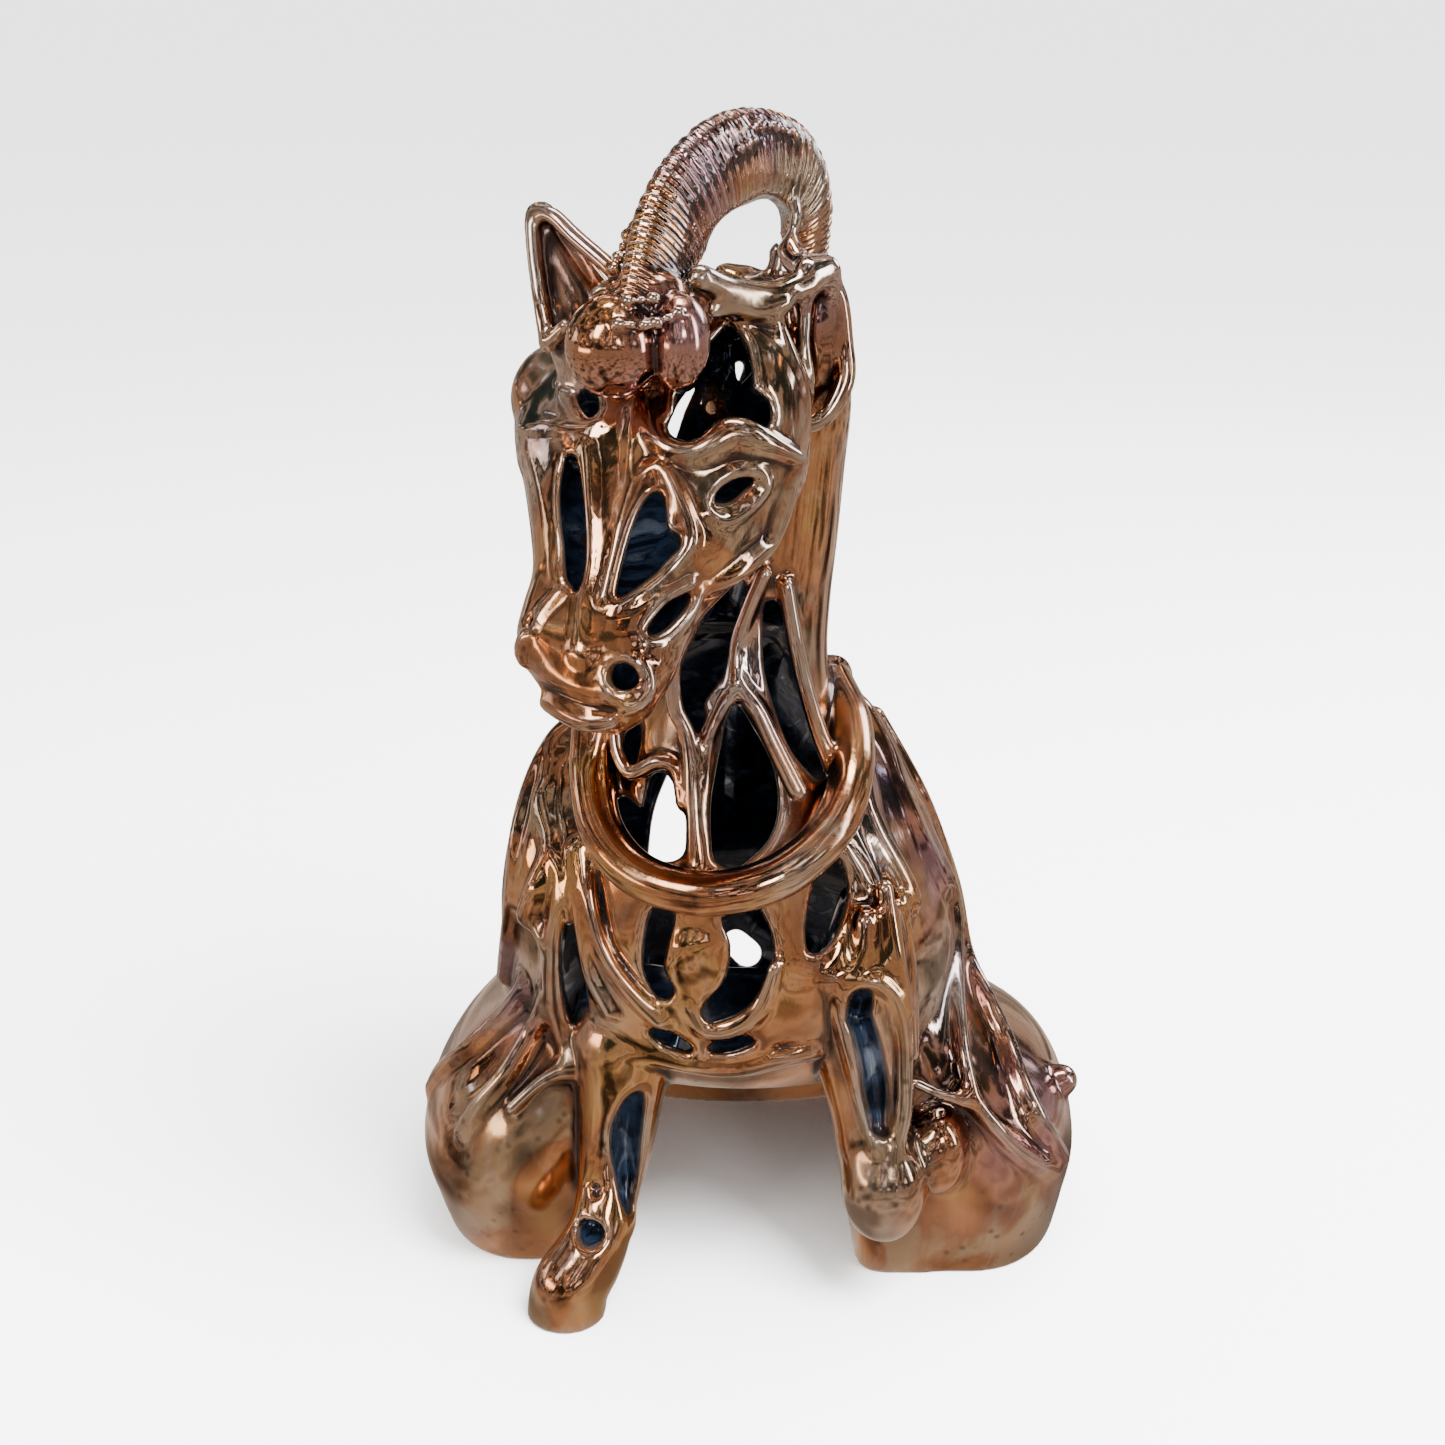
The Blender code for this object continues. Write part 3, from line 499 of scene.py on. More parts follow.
@dataclass
class HeadForm:
    """The closed skull, as rows of (down the face, centre across, centre out, half width, half depth)."""

    skull: Rows = (
        (-6, 0, -20, 16, 12), (0, -1, -20, 27, 20), (20, -3, -22, 41, 27), (44, -6, -25, 50, 33),
        (58, -6, -25, 47, 33), (68, -5, -25, 42, 32), (87, -3, -21, 34, 27), (100, -3, -19, 29, 22),
        (112, -3, -16, 28, 18), (123, -2, -14, 27, 17), (132, 0, -14, 23, 15), (140, 3, -14, 17, 12),
        (147, 4, -15, 9, 7),
    )
    power: float = 2.3
    join: float = 3.0

    def add_to(self, casting: Casting) -> None:
        """Melts the skull onto the neck."""
        casting.add(casting.loft(self.skull, HEAD, power=self.power), self.join)


@dataclass
class Openings:
    """Every opening through the wall, as rows of (x, y, z, radius) of its middle line.

    The head's are on its own axes. The far ones let the background show through those in front of them.
    """

    neck: Sequence[Rows] = (
        ((15, -36, 268, 3), (12, -38, 260, 6), (8, -40, 250, 7.5), (3, -42, 240, 7.2), (-1, -44, 230, 5),
         (1, -47, 222, 3)),
        ((27, -36, 260, 3.2), (29, -38, 241, 4.8), (33, -38, 225, 4.9), (38, -38, 211, 4.6),
         (44, -37, 200, 2.8)),
        ((14, -46, 227, 2.4), (16, -48, 217, 5.8), (18, -53, 204, 10.4), (17, -59, 192, 11.5),
         (13, -66, 183, 7)),
        ((-12, -50, 201, 4), (-10, -55, 192, 7.4), (-9, -62, 184, 7)),
        ((-25, -45, 191, 3.1), (-22, -51, 187, 5.3), (-15, -59, 183, 6.6)),
        ((-21, -38, 218, 2.6), (-22, -38, 212, 3.4), (-23, -40, 204, 2.5)),
    )
    chest: Sequence[Rows] = (
        ((-11, -66, 157, 4.4), (-13, -66, 148, 4.1), (-14, -67, 138, 3.4), (-10, -68, 130, 3.2)),
        ((17, -69, 158, 6.8), (20, -69, 150, 7.2), (20, -70, 139, 7.6), (15, -71, 130, 6.2),
         (6, -70, 122, 4)),
        ((50, -50, 171, 3.5), (48, -56, 163, 6.2), (45, -61, 152, 5.8), (42, -64, 145, 2.7)),
        ((-35, -50, 167, 1.9), (-33, -56, 153, 2.7), (-30, -60, 142, 3), (-22, -64, 132, 2.4),
         (-14, -67, 124, 1.6)),
        ((-48, -45, 150, 2.4), (-45, -50, 137, 5), (-44, -49, 121, 4.8), (-42, -47, 105, 4.5),
         (-39, -47, 95, 2.8)),
        ((-50, -39, 166, 1.6), (-48, -43, 157, 2.1)),
        ((-15, -63, 111, 1.4), (-9, -65, 109, 2.7), (-2, -65, 105, 1.7)),
        ((6, -66, 106, 1.4), (12, -67, 108, 2.7), (20, -68, 110, 1.7)),
        ((27, -66, 104, 1), (31, -65, 105, 2), (37, -64, 106, 1)),
    )
    head: Sequence[Rows] = (
        ((20, 0, 13, 3), (20, 0, 21, 6), (20, 0, 31, 10), (20, 0, 40, 12)),
        ((11, 0, 49, 4), (20, 0, 46, 8), (33, 0, 42, 7)),
        ((-28, 0, 38, 2.4), (-23, 0, 43, 3.2), (-18, 0, 50, 2.4)),
        ((-23, 0, 64, 1.8), (-20, 0, 74, 3.4), (-16, 0, 84, 4.1), (-12, 0, 95, 3.6), (-10, 0, 104, 2.6),
         (-8, 0, 108, 1.4)),
        ((10, 0, 75, 2.4), (10, 0, 83, 5.2), (11, 0, 92, 7), (9, 0, 101, 4.8), (7, 0, 108, 2)),
        ((12, 0, 91, 6), (20, 0, 89, 2.8)),
        ((27, -3, 71, 1.2), (30, -5, 68, 3), (33, -6, 63, 3), (36, -9, 60, 1.2)),
        ((24, -11, 102, 1.7), (22, -7, 108, 3.3), (20, -4, 115, 2.6), (19, -2, 118, 1.4)),
    )
    far_head: Sequence[Rows] = (
        ((1, 5, 328, 2.4), (-3, 5, 320, 3.6), (-8, 5, 310, 3)),
        ((16, 25, 332, 1.6), (11, 25, 321, 2.5), (7, 25, 310, 2)),
    )
    far_body: Sequence[Rows] = (
        ((-3, 88, 152, 8), (-8, 90, 131, 10.5), (-10, 92, 109, 11.5)),
        ((16, 128, 54, 6), (21, 128, 49, 6.5)),
    )
    back: Sequence[Rows] = (((70, 74, 168, 5), (75, 76, 146, 7), (74, 80, 120, 7), (70, 84, 104, 5)),)

    def cut_from(self, casting: Casting) -> None:
        """Cuts them all."""
        for rows in (*self.neck, *self.chest):
            casting.window(rows)
        for rows in self.head:
            casting.window(HEAD.rows(rows), fillet=2.0)
        for rows in self.far_head:
            casting.window(rows, depth=12.0)
        for rows in self.far_body:
            casting.window(rows, depth=4.0)
        for rows in self.back:
            casting.cut(casting.bar(rows, along=np.eye(3)[1], stretch=4.0), 3.0)


@dataclass
class Drapery:
    """The folds and tassels that run down the shoulders and haunches, and the valleys beside them."""

    folds: Sequence[Rows] = (
        ((-44, 8, 203, 3.5), (-50, 2, 197, 3.7), (-53, -14, 185, 3.4), (-57, -22, 172, 3.2),
         (-60, -26, 158, 3), (-63, -26, 144, 2.8)),
        ((-44, 1, 202, 3.6), (-55, 2, 191, 3.6), (-61, -5, 179, 3.6), (-65, -15, 165, 3.4),
         (-66, -20, 151, 3.2), (-69, -18, 130, 3), (-73, -6, 105, 3)),
        ((-54, -18, 182, 2.8), (-51, -32, 172, 2.8), (-47, -42, 161, 2.6), (-50, -46, 142, 2.4),
         (-52, -43, 119, 2.8), (-49, -43, 101, 2.8), (-44, -48, 88, 2.8)),
        ((-54, -38, 111, 2.8), (-61, -36, 97, 3), (-70, -39, 82, 3.2), (-80, -39, 69, 3),
         (-88, -38, 56, 2.2)),
        ((-63, -25, 110, 2.8), (-74, -16, 93, 3.2), (-87, -10, 77, 3.4), (-99, 6, 59, 3.2),
         (-105, 14, 46, 2.6)),
        ((-46, -48, 89, 2.4), (-57, -49, 83, 2.2), (-68, -49, 72, 1.8)),
        ((58, 14, 209, 3.5), (67, 8, 193, 3.6), (74, -3, 179, 3.6), (82, -10, 162, 4), (90, -8, 144, 3.6)),
        ((60, -19, 194, 2.8), (62, -30, 183, 3), (66, -36, 170, 3), (73, -38, 155, 3)),
        ((53, -46, 174, 2.6), (59, -47, 163, 2.8), (62, -51, 151, 3), (58, -58, 140, 2.8),
         (50, -64, 133, 2.6)),
        ((62, 14, 204, 3), (76, 6, 178, 3.2), (88, 0, 155, 3), (97, -3, 135, 2.8), (98, -13, 115, 2.6),
         (98, -30, 102, 2.6), (99, -45, 89, 2.6), (103, -51, 76, 2.8), (112, -53, 65, 2.8),
         (124, -48, 51, 2.8), (135, -38, 39, 2.4)),
        ((68, 22, 200, 3), (84, 14, 172, 3.2), (92, 16, 150, 3.4), (99, 20, 128, 3.2), (103, 14, 108, 3.2),
         (110, -3, 97, 3.2), (117, -15, 85, 3.2), (122, -31, 75, 3), (129, -39, 61, 3), (139, -31, 41, 2.6)),
        ((80, -53, 85, 2), (89, -54, 81, 2), (97, -53, 78, 2)),
    )
    tassels: Sequence[Rows] = (
        ((-51, -34, 168, 3.4), (-56, -37, 155, 5.2), (-61, -35, 143, 3.6)),
        ((-60, -35, 145, 3), (-54, -43, 136, 2.1)),
        ((63, -31, 179, 3), (69, -37, 167, 5), (75, -39, 154, 6), (78, -40, 148, 3)),
    )
    valleys: Sequence[Rows] = (
        ((103, 6, 118, 4), (106, -8, 105, 6.5), (110, -28, 95, 8.5), (115, -42, 83, 9), (123, -51, 69, 8),
         (133, -47, 53, 5)),
        ((-66, -29, 101, 3.4), (-76, -32, 87, 6), (-86, -31, 73, 5.4), (-95, -22, 60, 3)),
    )
    rims: Sequence[Rows] = (
        ((-39, -43, 173, 3), (-37, -52, 158, 2.8), (-32, -58, 141, 2.7), (-23, -63, 128, 2.7),
         (-12, -66, 117, 2.6)),
        ((-42, -41, 172, 2.4), (-40, -52, 150, 2.4), (-37, -56, 132, 2.6), (-30, -58, 117, 2.6)),
        ((-2, -69, 124, 2), (4, -69, 115, 2.4), (14, -70, 116, 2.4), (23, -70, 124, 2.4), (28, -70, 140, 2)),
        ((-24, -56, 100, 2.7), (-2, -61, 97, 3.1), (14, -62, 96, 3.1), (30, -64, 101, 2.7),
         (42, -62, 103, 2.7)),
    )
    plate: Knob = ((0, -69, 141), (8.5, 3, 10.5))
    withers_knob: Knob = ((52, 24, 215), (7, 8, 8))
    tip: Knob = ((142, -2, 58), (6, 7, 6))
    fold_fillet: float = 7.0
    fillet: float = 4.0
    valley_fillet: float = 3.0

    def add_to(self, casting: Casting) -> None:
        """Raises the folds, tassels and rims."""
        casting.add_bars(self.folds, self.fold_fillet)
        casting.add_bars((*self.tassels, *self.rims), self.fillet)
        casting.add_knobs((self.plate, self.withers_knob, self.tip), self.fillet)

    def cut_from(self, casting: Casting) -> None:
        """Sinks the valleys."""
        casting.cut_bars(self.valleys, self.valley_fillet)


@dataclass
class Harness:
    """The breast collar, one round bar across the chest, and the straps that branch up the neck from it."""

    radius: float = 8.0
    fillet: float = 3.0
    line: Rows = (
        (-36, -20, 212), (-36, -38, 197), (-31, -55, 183), (-17, -70, 174), (6, -79, 172), (29, -76, 177),
        (47, -62, 188), (55, -42, 200), (56, -15, 210), (51, 15, 215),
    )
    straps: Sequence[Rows] = (
        ((4, -28, 282, 2), (-1, -40, 268, 2.4), (-5, -48, 253, 2.6), (-7, -47, 239, 3.1),
         (-6, -48, 227, 3.1), (-2, -50, 218, 3.1), (0, -56, 199, 3.1), (1, -66, 176, 3.1)),
        ((24, -36, 272, 2.8), (19, -37, 260, 2.8), (15, -38, 248, 2.8), (14, -42, 235, 3.1),
         (9, -45, 226, 2.8), (5, -49, 217, 2.4), (3, -56, 195, 2.2), (3, -66, 176, 2.2)),
        ((15, -43, 235, 2.8), (22, -44, 226, 3.1), (28, -48, 214, 3.5), (36, -54, 199, 3.8)),
        ((32, -33, 267, 2.5), (35, -34, 249, 2.8), (39, -34, 231, 2.8), (44, -34, 214, 3.2),
         (50, -38, 200, 3.5)),
        ((-15, -24, 246, 2.2), (-23, -27, 240, 2.4), (-28, -28, 232, 2.4), (-32, -32, 217, 2.8),
         (-34, -40, 200, 3.1)),
        ((-16, -32, 236, 2), (-24, -34, 230, 2.1), (-27, -34, 222, 2.1), (-27, -40, 210, 2.4),
         (-22, -46, 203, 2.8), (-13, -48, 208, 2.8), (-6, -50, 206, 2.4), (-4, -55, 195, 2.4)),
    )

    def add_to(self, casting: Casting) -> None:
        """Lays the collar on the chest and the straps on the neck."""
        casting.add_bars((*self.straps, [(*point, self.radius) for point in self.line]), self.fillet)


@dataclass
class Mane:
    """The roached mane: a flattened arch from the forelock over the poll to the back of the neck.

    Ribs and finer hair lie across it, and rows of beads stand on its outer edge.
    """

    crest: Rows = (
        (-16, -76, 366, 10), (-11, -62, 378, 14.5), (-5, -48, 392, 17), (7, -32, 403, 19),
        (20, -12, 406, 18), (32, 4, 402, 16), (38, 16, 389, 14.5), (40, 22, 370, 10.5), (42, 26, 348, 9.8),
        (44, 30, 318, 9), (44, 32, 292, 7.6), (43, 32, 265, 5.3),
    )
    sideways: Row = (0.8, -0.6, 0.0)
    flatness: float = 0.46
    rib_pitch: float = 4.2
    rib_height: float = 1.1
    rib_fade: float = 4.0
    fillet: float = 2.5
    spans: int = 36
    bead_rows: Sequence[Rows] = (
        ((-24, -66, 380), (-20, -60, 389), (-14, -54, 397), (-8, -46, 406), (0, -38, 413), (8, -30, 418),
         (16, -20, 421), (25, -10, 420), (33, 0, 416), (39, 8, 410)),
        ((-19, -68, 379), (-16, -62, 387), (-10, -56, 395), (-3, -48, 404), (4, -40, 411), (12, -32, 416),
         (20, -22, 419), (28, -12, 418), (35, -2, 414)),
        ((-14, -69, 377), (-11, -63, 384), (-5, -57, 393), (1, -49, 402), (8, -41, 409), (15, -33, 413),
         (22, -24, 416)),
    )
    bead: float = 2.0
    bead_variety: float = 0.22
    bead_pitch: float = 4.0
    bead_fillet: float = 0.8
    forelock: Sequence[Knob] = (
        ((-24, -80, 358), (15, 15, 16)),
        ((-3, -80, 359), (9.5, 12, 15.5)),
        ((-13, -68, 371), (13, 12, 10)),
    )
    forelock_beads: Sequence[Rows] = (
        ((-30, -87, 366), (-22, -92, 367), (-12, -93, 367), (-3, -88, 370)),
        ((-26, -82, 372), (-18, -86, 373), (-9, -86, 374)),
    )
    openings: Sequence[Rows] = (
        ((9, -30, 378, 4), (16, -25, 382, 10), (25, -20, 389, 8)),
        ((14, -30, 376, 5), (24, -25, 376, 4.5)),
    )

    def arch(self, casting: Casting) -> Shape:
        """The distance to the crest's smooth arch."""
        return casting.bar(self.crest, along=np.array(self.sideways), stretch=self.flatness)

    def run(self, x: np.ndarray, y: np.ndarray, z: np.ndarray) -> np.ndarray:
        """How far along the crest's middle line the nearest point of it lies, for each place."""
        return nearest_run(x, y, z, smooth_curve(self.crest, self.spans))

    def beads(self, line: Rows, shift: float) -> list[np.ndarray]:
        """Even places for beads along a line, starting a share of the pitch from its end."""
        curve = smooth_curve(line, 200)
        run = np.concatenate([[0], np.cumsum(np.linalg.norm(np.diff(curve, axis=0), axis=1))])
        stops = np.arange(shift * self.bead_pitch, run[-1], self.bead_pitch)
        return list(np.stack([np.interp(stops, run, curve[:, i]) for i in range(3)], axis=1))

    def add_to(self, casting: Casting) -> None:
        """Raises the crest with its ribs, the forelock and the beads.

        The ribs are the height times (|sin(pi s / pitch)| - 1/2), s being the run along the crest's middle
        line, and fade with the distance from the crest's own skin.
        """
        part, away = self.arch(casting)
        run = self.run(*casting.places(part))
        wave = np.abs(np.sin(run * (math.pi / self.rib_pitch))) - 0.5
        ribbed = away - self.rib_height * wave * np.exp(-((away / self.rib_fade) ** 2))
        casting.add((part, ribbed), self.fillet)
        casting.add_knobs(self.forelock, self.fillet)
        for number, line in enumerate((*self.bead_rows, *self.forelock_beads)):
            for count, place in enumerate(self.beads(line, 0.5 * (number % 2))):
                size = self.bead * (1 + self.bead_variety * math.sin(2.4 * count + number))
                casting.add(casting.knob(place, (size, size, size * 0.9), margin=3.0), self.bead_fillet)

    def cut_from(self, casting: Casting) -> None:
        """Opens the arch."""
        for rows in self.openings:
            casting.window(rows)


@dataclass
class Ears:
    """The left ear, a hollow-fronted point, and the right ear, a cup held by bars."""

    left: Rows = (
        (-30, -50, 350, 15), (-35, -49, 362, 13.5), (-41, -46, 374, 10.5), (-46, -43, 385, 7.5),
        (-48, -42, 393, 5),
    )
    left_through: Row = (0.0, 1.0, -0.3)
    left_edges: Sequence[Rows] = (
        ((-50, -44, 394, 2.8), (-44, -49, 394, 2.8), (-37, -53, 388, 3), (-29, -58, 382, 3),
         (-22, -63, 377, 3)),
        ((-51, -46, 391, 2.4), (-50, -51, 380, 2.4), (-48, -56, 368, 2.6), (-46, -58, 356, 2.8)),
        ((-27, -66, 374, 2.4), (-34, -65, 368, 2.6), (-41, -62, 360, 2.6), (-46, -58, 354, 2.4)),
        ((-25, -70, 368, 2.2), (-31, -71, 361, 2.4), (-38, -68, 354, 2.4)),
    )
    left_hollow: Rows = ((-47, -57, 387, 2), (-43, -61, 380, 4.6), (-39, -63, 372, 6), (-35, -65, 365, 4.4))
    bar_radius: float = 4.8
    bars: Sequence[Rows] = (
        ((3, -62, 376), (12, -54, 371), (24, -46, 368), (35, -38, 370), (44, -30, 374)),
        ((30, 0, 396), (32, -5, 389), (30, -12, 383), (34, -20, 376), (42, -28, 372)),
        ((24, -45, 362), (29, -47, 350), (34, -48, 336), (33, -51, 324), (31, -56, 314)),
    )
    thin_bars: Sequence[Rows] = (
        ((7, -60, 365, 2.4), (14, -56, 366, 2.8), (22, -52, 364, 2.8), (30, -46, 366, 2.8)),
        ((25, 5, 386, 3.3), (26, 5, 379, 3), (28, 0, 373, 3), (24, -6, 366, 3), (18, -10, 364, 2.6)),
        ((14, -52, 362, 2.2), (20, -54, 352, 2.3), (25, -55, 339, 2.4), (30, -57, 322, 2.4)),
        ((10, -12, 340, 2.5), (4, -12, 331, 2.5), (-1, -14, 322, 2.5), (-4, -18, 311, 2.5)),
        ((25, -12, 339, 2.5), (19, -12, 332, 2.5), (13, -12, 325, 2.5), (10, -12, 314, 2.5)),
        ((4, -30, 348, 2.1), (-1, -30, 338, 2.1), (-9, -28, 328, 2.1)),
    )
    right: Knob = ((43, -20, 351), (10, 10, 24))
    right_rim: Sequence[Rows] = (
        ((38, -31, 376, 3.4), (43, -28, 373, 3.6), (48, -26, 364, 3.8), (50, -26, 350, 3.8),
         (51, -28, 339, 3.8), (48, -31, 331, 3.6), (43, -34, 325, 3.2), (36, -38, 323, 2.5)),
        ((37, -34, 375, 3.2), (37, -36, 365, 3), (37, -38, 352, 3), (38, -40, 341, 3), (37, -42, 330, 2.8)),
    )
    right_hollow: Rows = ((43, -35, 363, 3.5), (43, -36, 350, 5.2), (44, -36, 339, 4))
    ball: Knob = ((14, 8, 366), (7.5, 8, 6))
    flatness: float = 0.6
    fillet: float = 4.0
    rim_fillet: float = 2.5
    hollow_fillet: float = 2.0

    def add_to(self, casting: Casting) -> None:
        """Raises both ears and their bars."""
        point = casting.bar(self.left, along=np.array(self.left_through), stretch=self.flatness)
        casting.add(point, self.fillet)
        casting.add_knobs((self.right, self.ball), self.fillet)
        casting.add_bars((*self.left_edges, *self.thin_bars, *self.right_rim), self.rim_fillet)
        casting.add_bars([[(*place, self.bar_radius) for place in line] for line in self.bars], self.fillet)

    def cut_from(self, casting: Casting) -> None:
        """Hollows both ears' fronts."""
        casting.cut_bars((self.left_hollow, self.right_hollow), self.hollow_fillet)


@dataclass
class Face:
    """The bars, rims and knobs that model the face, and the lines sunk into it, all on the head's axes."""

    bars: Sequence[Rows] = (
        ((-51, -14, 47, 3.2), (-44, -5, 53, 3.6), (-30, 3, 55, 3.6), (-19, 5, 57, 3.3), (-12, 6, 54, 3)),
        ((-33, 1, 36, 2.4), (-31, 3, 46, 2.4), (-23, 5, 53, 2.6), (-15, 6, 55, 2.6), (-12, 6, 49, 2.8),
         (-15, 6, 40, 2.8)),
        ((-40, -4, 60, 2.8), (-30, -2, 75, 2.8), (-23, -2, 89, 2.6), (-18, -2, 102, 2.6),
         (-13, 0, 110, 2.3)),
        ((-15, 6, 62, 2.4), (-9, 5, 80, 2.2), (-4, 2, 99, 2), (-3, 1, 112, 2)),
        ((-3, 6, 43, 3), (0, 6, 59, 2.8), (2, 5, 72, 2.3), (3, 4, 92, 2), (3, 2, 111, 2)),
        ((4, 1, 110, 2), (4, 2, 96, 2), (5, 4, 80, 2), (6, 5, 70, 2.2), (11, 5, 66, 2.4), (18, 2, 74, 2.3),
         (24, -3, 85, 2.6), (20, -4, 96, 2.3), (13, -1, 107, 2.6), (7, 0, 113, 2.3)),
        ((-1, 6, 42, 3), (3, 6, 51, 3.3), (7, 6, 57, 3.5), (13, 5, 60, 3.6), (20, 3, 59, 4), (25, 2, 55, 5),
         (29, 0, 50, 6), (35, -4, 49, 5.3), (41, -11, 48, 3.2), (45, -18, 47, 2.4)),
        ((25, -3, 73, 1.7), (27, -3, 66, 2), (32, -5, 60, 2.3), (37, -10, 57, 2.3), (39, -14, 60, 2),
         (36, -14, 67, 2.2), (31, -10, 75, 2.5), (27, -4, 76, 2), (25, -3, 73, 1.7)),
        ((45, -22, 46, 2.4), (43, -23, 53, 2.8), (40, -29, 61, 3.6), (36, -33, 71, 4), (33, -27, 82, 4),
         (30, -22, 90, 3.2), (24, -16, 97, 2.6)),
        ((26, -15, 97, 1.8), (25, -15, 106, 2), (23, -9, 117, 2), (19, -3, 122, 2), (16, -2, 117, 2),
         (19, -5, 106, 2), (25, -10, 97, 1.8)),
        ((10, -2, 137, 2), (11, -1, 131, 2.1), (17, -3, 128, 2.3), (21, -7, 131, 2.3), (21, -9, 137, 2.3),
         (16, -8, 142, 2), (11, -5, 141, 2), (10, -2, 137, 2)),
        ((-12, 0, 109, 2.6), (-16, 0, 116, 3), (-19, -1, 123, 3.3), (-23, -5, 128, 3), (-22, -8, 132, 2.3)),
        ((-5, 1, 111, 2), (-2, 2, 121, 2.4), (-1, 1, 128, 2.4)),
        ((-12, -12, 142, 3.5), (-4, -10, 145, 4), (4, -9, 147, 4), (11, -9, 146, 3.3)),
    )
    knobs: Sequence[Knob] = (((-44, -20, 32), (18, 17, 19)), ((1, 0, 128), (4.5, 3.5, 4.5)))
    sunk: Sequence[Rows] = (
        ((14, 5, 135, 4), (14, -8, 132, 4.2)),
        ((-21, 1, 121, 2.2), (-19, -5, 119, 2)),
        ((-22, -9, 134, 1), (-15, -7, 138, 1.3), (-3, -4, 142, 1.4), (6, -4, 144, 1.4), (14, -7, 143, 1.2)),
    )
    knob_fillet: float = 4.0
    bar_fillet: float = 2.2
    sunk_fillet: float = 1.5

    def add_to(self, casting: Casting) -> None:
        """Raises the face's bars and knobs."""
        casting.add_knobs(self.knobs, self.knob_fillet, HEAD)
        casting.add_bars([HEAD.rows(rows) for rows in self.bars], self.bar_fillet)

    def cut_from(self, casting: Casting) -> None:
        """Sinks the nostrils and the line of the mouth."""
        casting.cut_bars([HEAD.rows(rows) for rows in self.sunk], self.sunk_fillet)


@dataclass
class Forelegs:
    """The left foreleg, which reaches the ground, and the right one, folded and knobbed against the haunch.

    A row of a leg is (height, centre x, centre y, half width x, half depth y).
    """

    left: Rows = (
        (30, -33, -58, 11, 12), (40, -32, -54, 11.5, 14), (59, -29, -48, 14, 14), (78, -27, -44, 16, 17),
        (98, -25, -38, 20, 22), (112, -22, -32, 20, 24),
    )
    left_foot: Rows = (
        (-34, -60, 38, 9.5), (-35, -64, 30, 11.5), (-40, -68, 20, 13.2), (-46, -71, 10, 14.2),
        (-48, -71, -6, 14.5),
    )
    left_slit: Rows = (
        (-18, -62, 86, 1.6), (-22, -62, 80, 4.2), (-25, -62, 68, 5.6), (-25, -62, 55, 4.4),
        (-25, -62, 43, 2.6), (-25, -62, 36, 1.2),
    )
    dents: Sequence[Knob] = (
        ((-38, -75, 34), (5.4, 12, 4.4)),
        ((-31, -64, 85), (2, 4, 2)),
        ((-36, -66, 48), (1.8, 4, 3.4)),
        ((-99, 2, 10), (3, 4, 4)),
    )
    right: Rows = (
        (45, 69, -55, 13, 11), (60, 66, -56, 14.5, 12), (73, 63.5, -55, 14, 12), (97, 60, -51, 16.5, 15),
        (121, 60, -50, 16, 16), (137, 61, -48, 15, 16), (155, 63, -43, 11, 14),
    )
    right_bars: Sequence[Rows] = (
        ((50, -62, 130, 2.8), (53, -65, 116, 3.2), (57, -67, 100, 3.2), (61, -68, 84, 3.2),
         (66, -69, 68, 3.2)),
        ((55, -64, 129, 2.6), (63, -65, 132, 2.6), (70, -64, 126, 2.8), (74, -64, 112, 3.2),
         (75, -65, 96, 3.2), (75, -66, 80, 3.2), (72, -68, 66, 3.2)),
        ((60, -58, 152, 3.6), (59, -61, 140, 3.3), (53, -63, 129, 3.1)),
        ((67, -52, 162, 3.3), (69, -56, 147, 3.5), (72, -59, 133, 3.5), (75, -61, 118, 3.2)),
        ((74, -46, 155, 2), (77, -48, 138, 2), (79, -50, 118, 2), (80, -50, 94, 2)),
    )
    right_knobs: Sequence[Knob] = (
        ((69, -64, 47), (15.5, 14.5, 20)),
        ((89, -54, 56), (10.5, 10.5, 16)),
    )
    right_leaf: Rows = (
        (58, -67, 123, 3), (60, -68, 114, 4.4), (63, -70, 103, 5.2), (65, -70, 89, 5.2), (66, -70, 76, 3.2),
    )
    right_hole: Rows = ((59, -66, 125, 3.8), (57, -66, 118, 3.2))
    power: float = 2.4
    fillet: float = 3.0
    foot_fillet: float = 4.0
    knob_fillet: float = 6.0
    dent_fillet: float = 1.5

    def add_to(self, casting: Casting) -> None:
        """Raises both forelegs."""
        casting.add(casting.loft(self.left, power=self.power), self.fillet)
        casting.add(casting.loft(self.right, power=self.power), self.fillet)
        casting.add(casting.bar(self.left_foot), self.foot_fillet)
        casting.add_bars(self.right_bars, self.fillet)
        casting.add_knobs(self.right_knobs, self.knob_fillet)

    def cut_from(self, casting: Casting) -> None:
        """Opens the slit, the leaf and the holes."""
        casting.window(self.left_slit, depth=3.0)
        casting.window(self.right_leaf, depth=2.4)
        casting.window(self.right_hole, depth=4.0)
        for centre, radii in self.dents:
            casting.cut(casting.knob(centre, radii), self.dent_fillet)


@dataclass
class Back:
    """The hidden side, kept plain: a ridge down the spine and a tail laid round the rump."""

    spine: Rows = (
        (40, 34, 262, 5), (32, 44, 236, 6), (24, 60, 212, 6.5), (19, 76, 190, 6.5), (18, 90, 160, 6),
        (18, 104, 125, 6), (18, 122, 95, 6), (18, 134, 72, 7),
    )
    tail: Rows = (
        (18, 134, 74, 7), (36, 136, 56, 8), (54, 133, 36, 8), (70, 124, 20, 7.5), (84, 110, 10, 6),
        (94, 98, 6, 4),
    )
    fillet: float = 5.0

    def add_to(self, casting: Casting) -> None:
        """Raises the spine and the tail."""
        casting.add_bars((self.spine, self.tail), self.fillet)


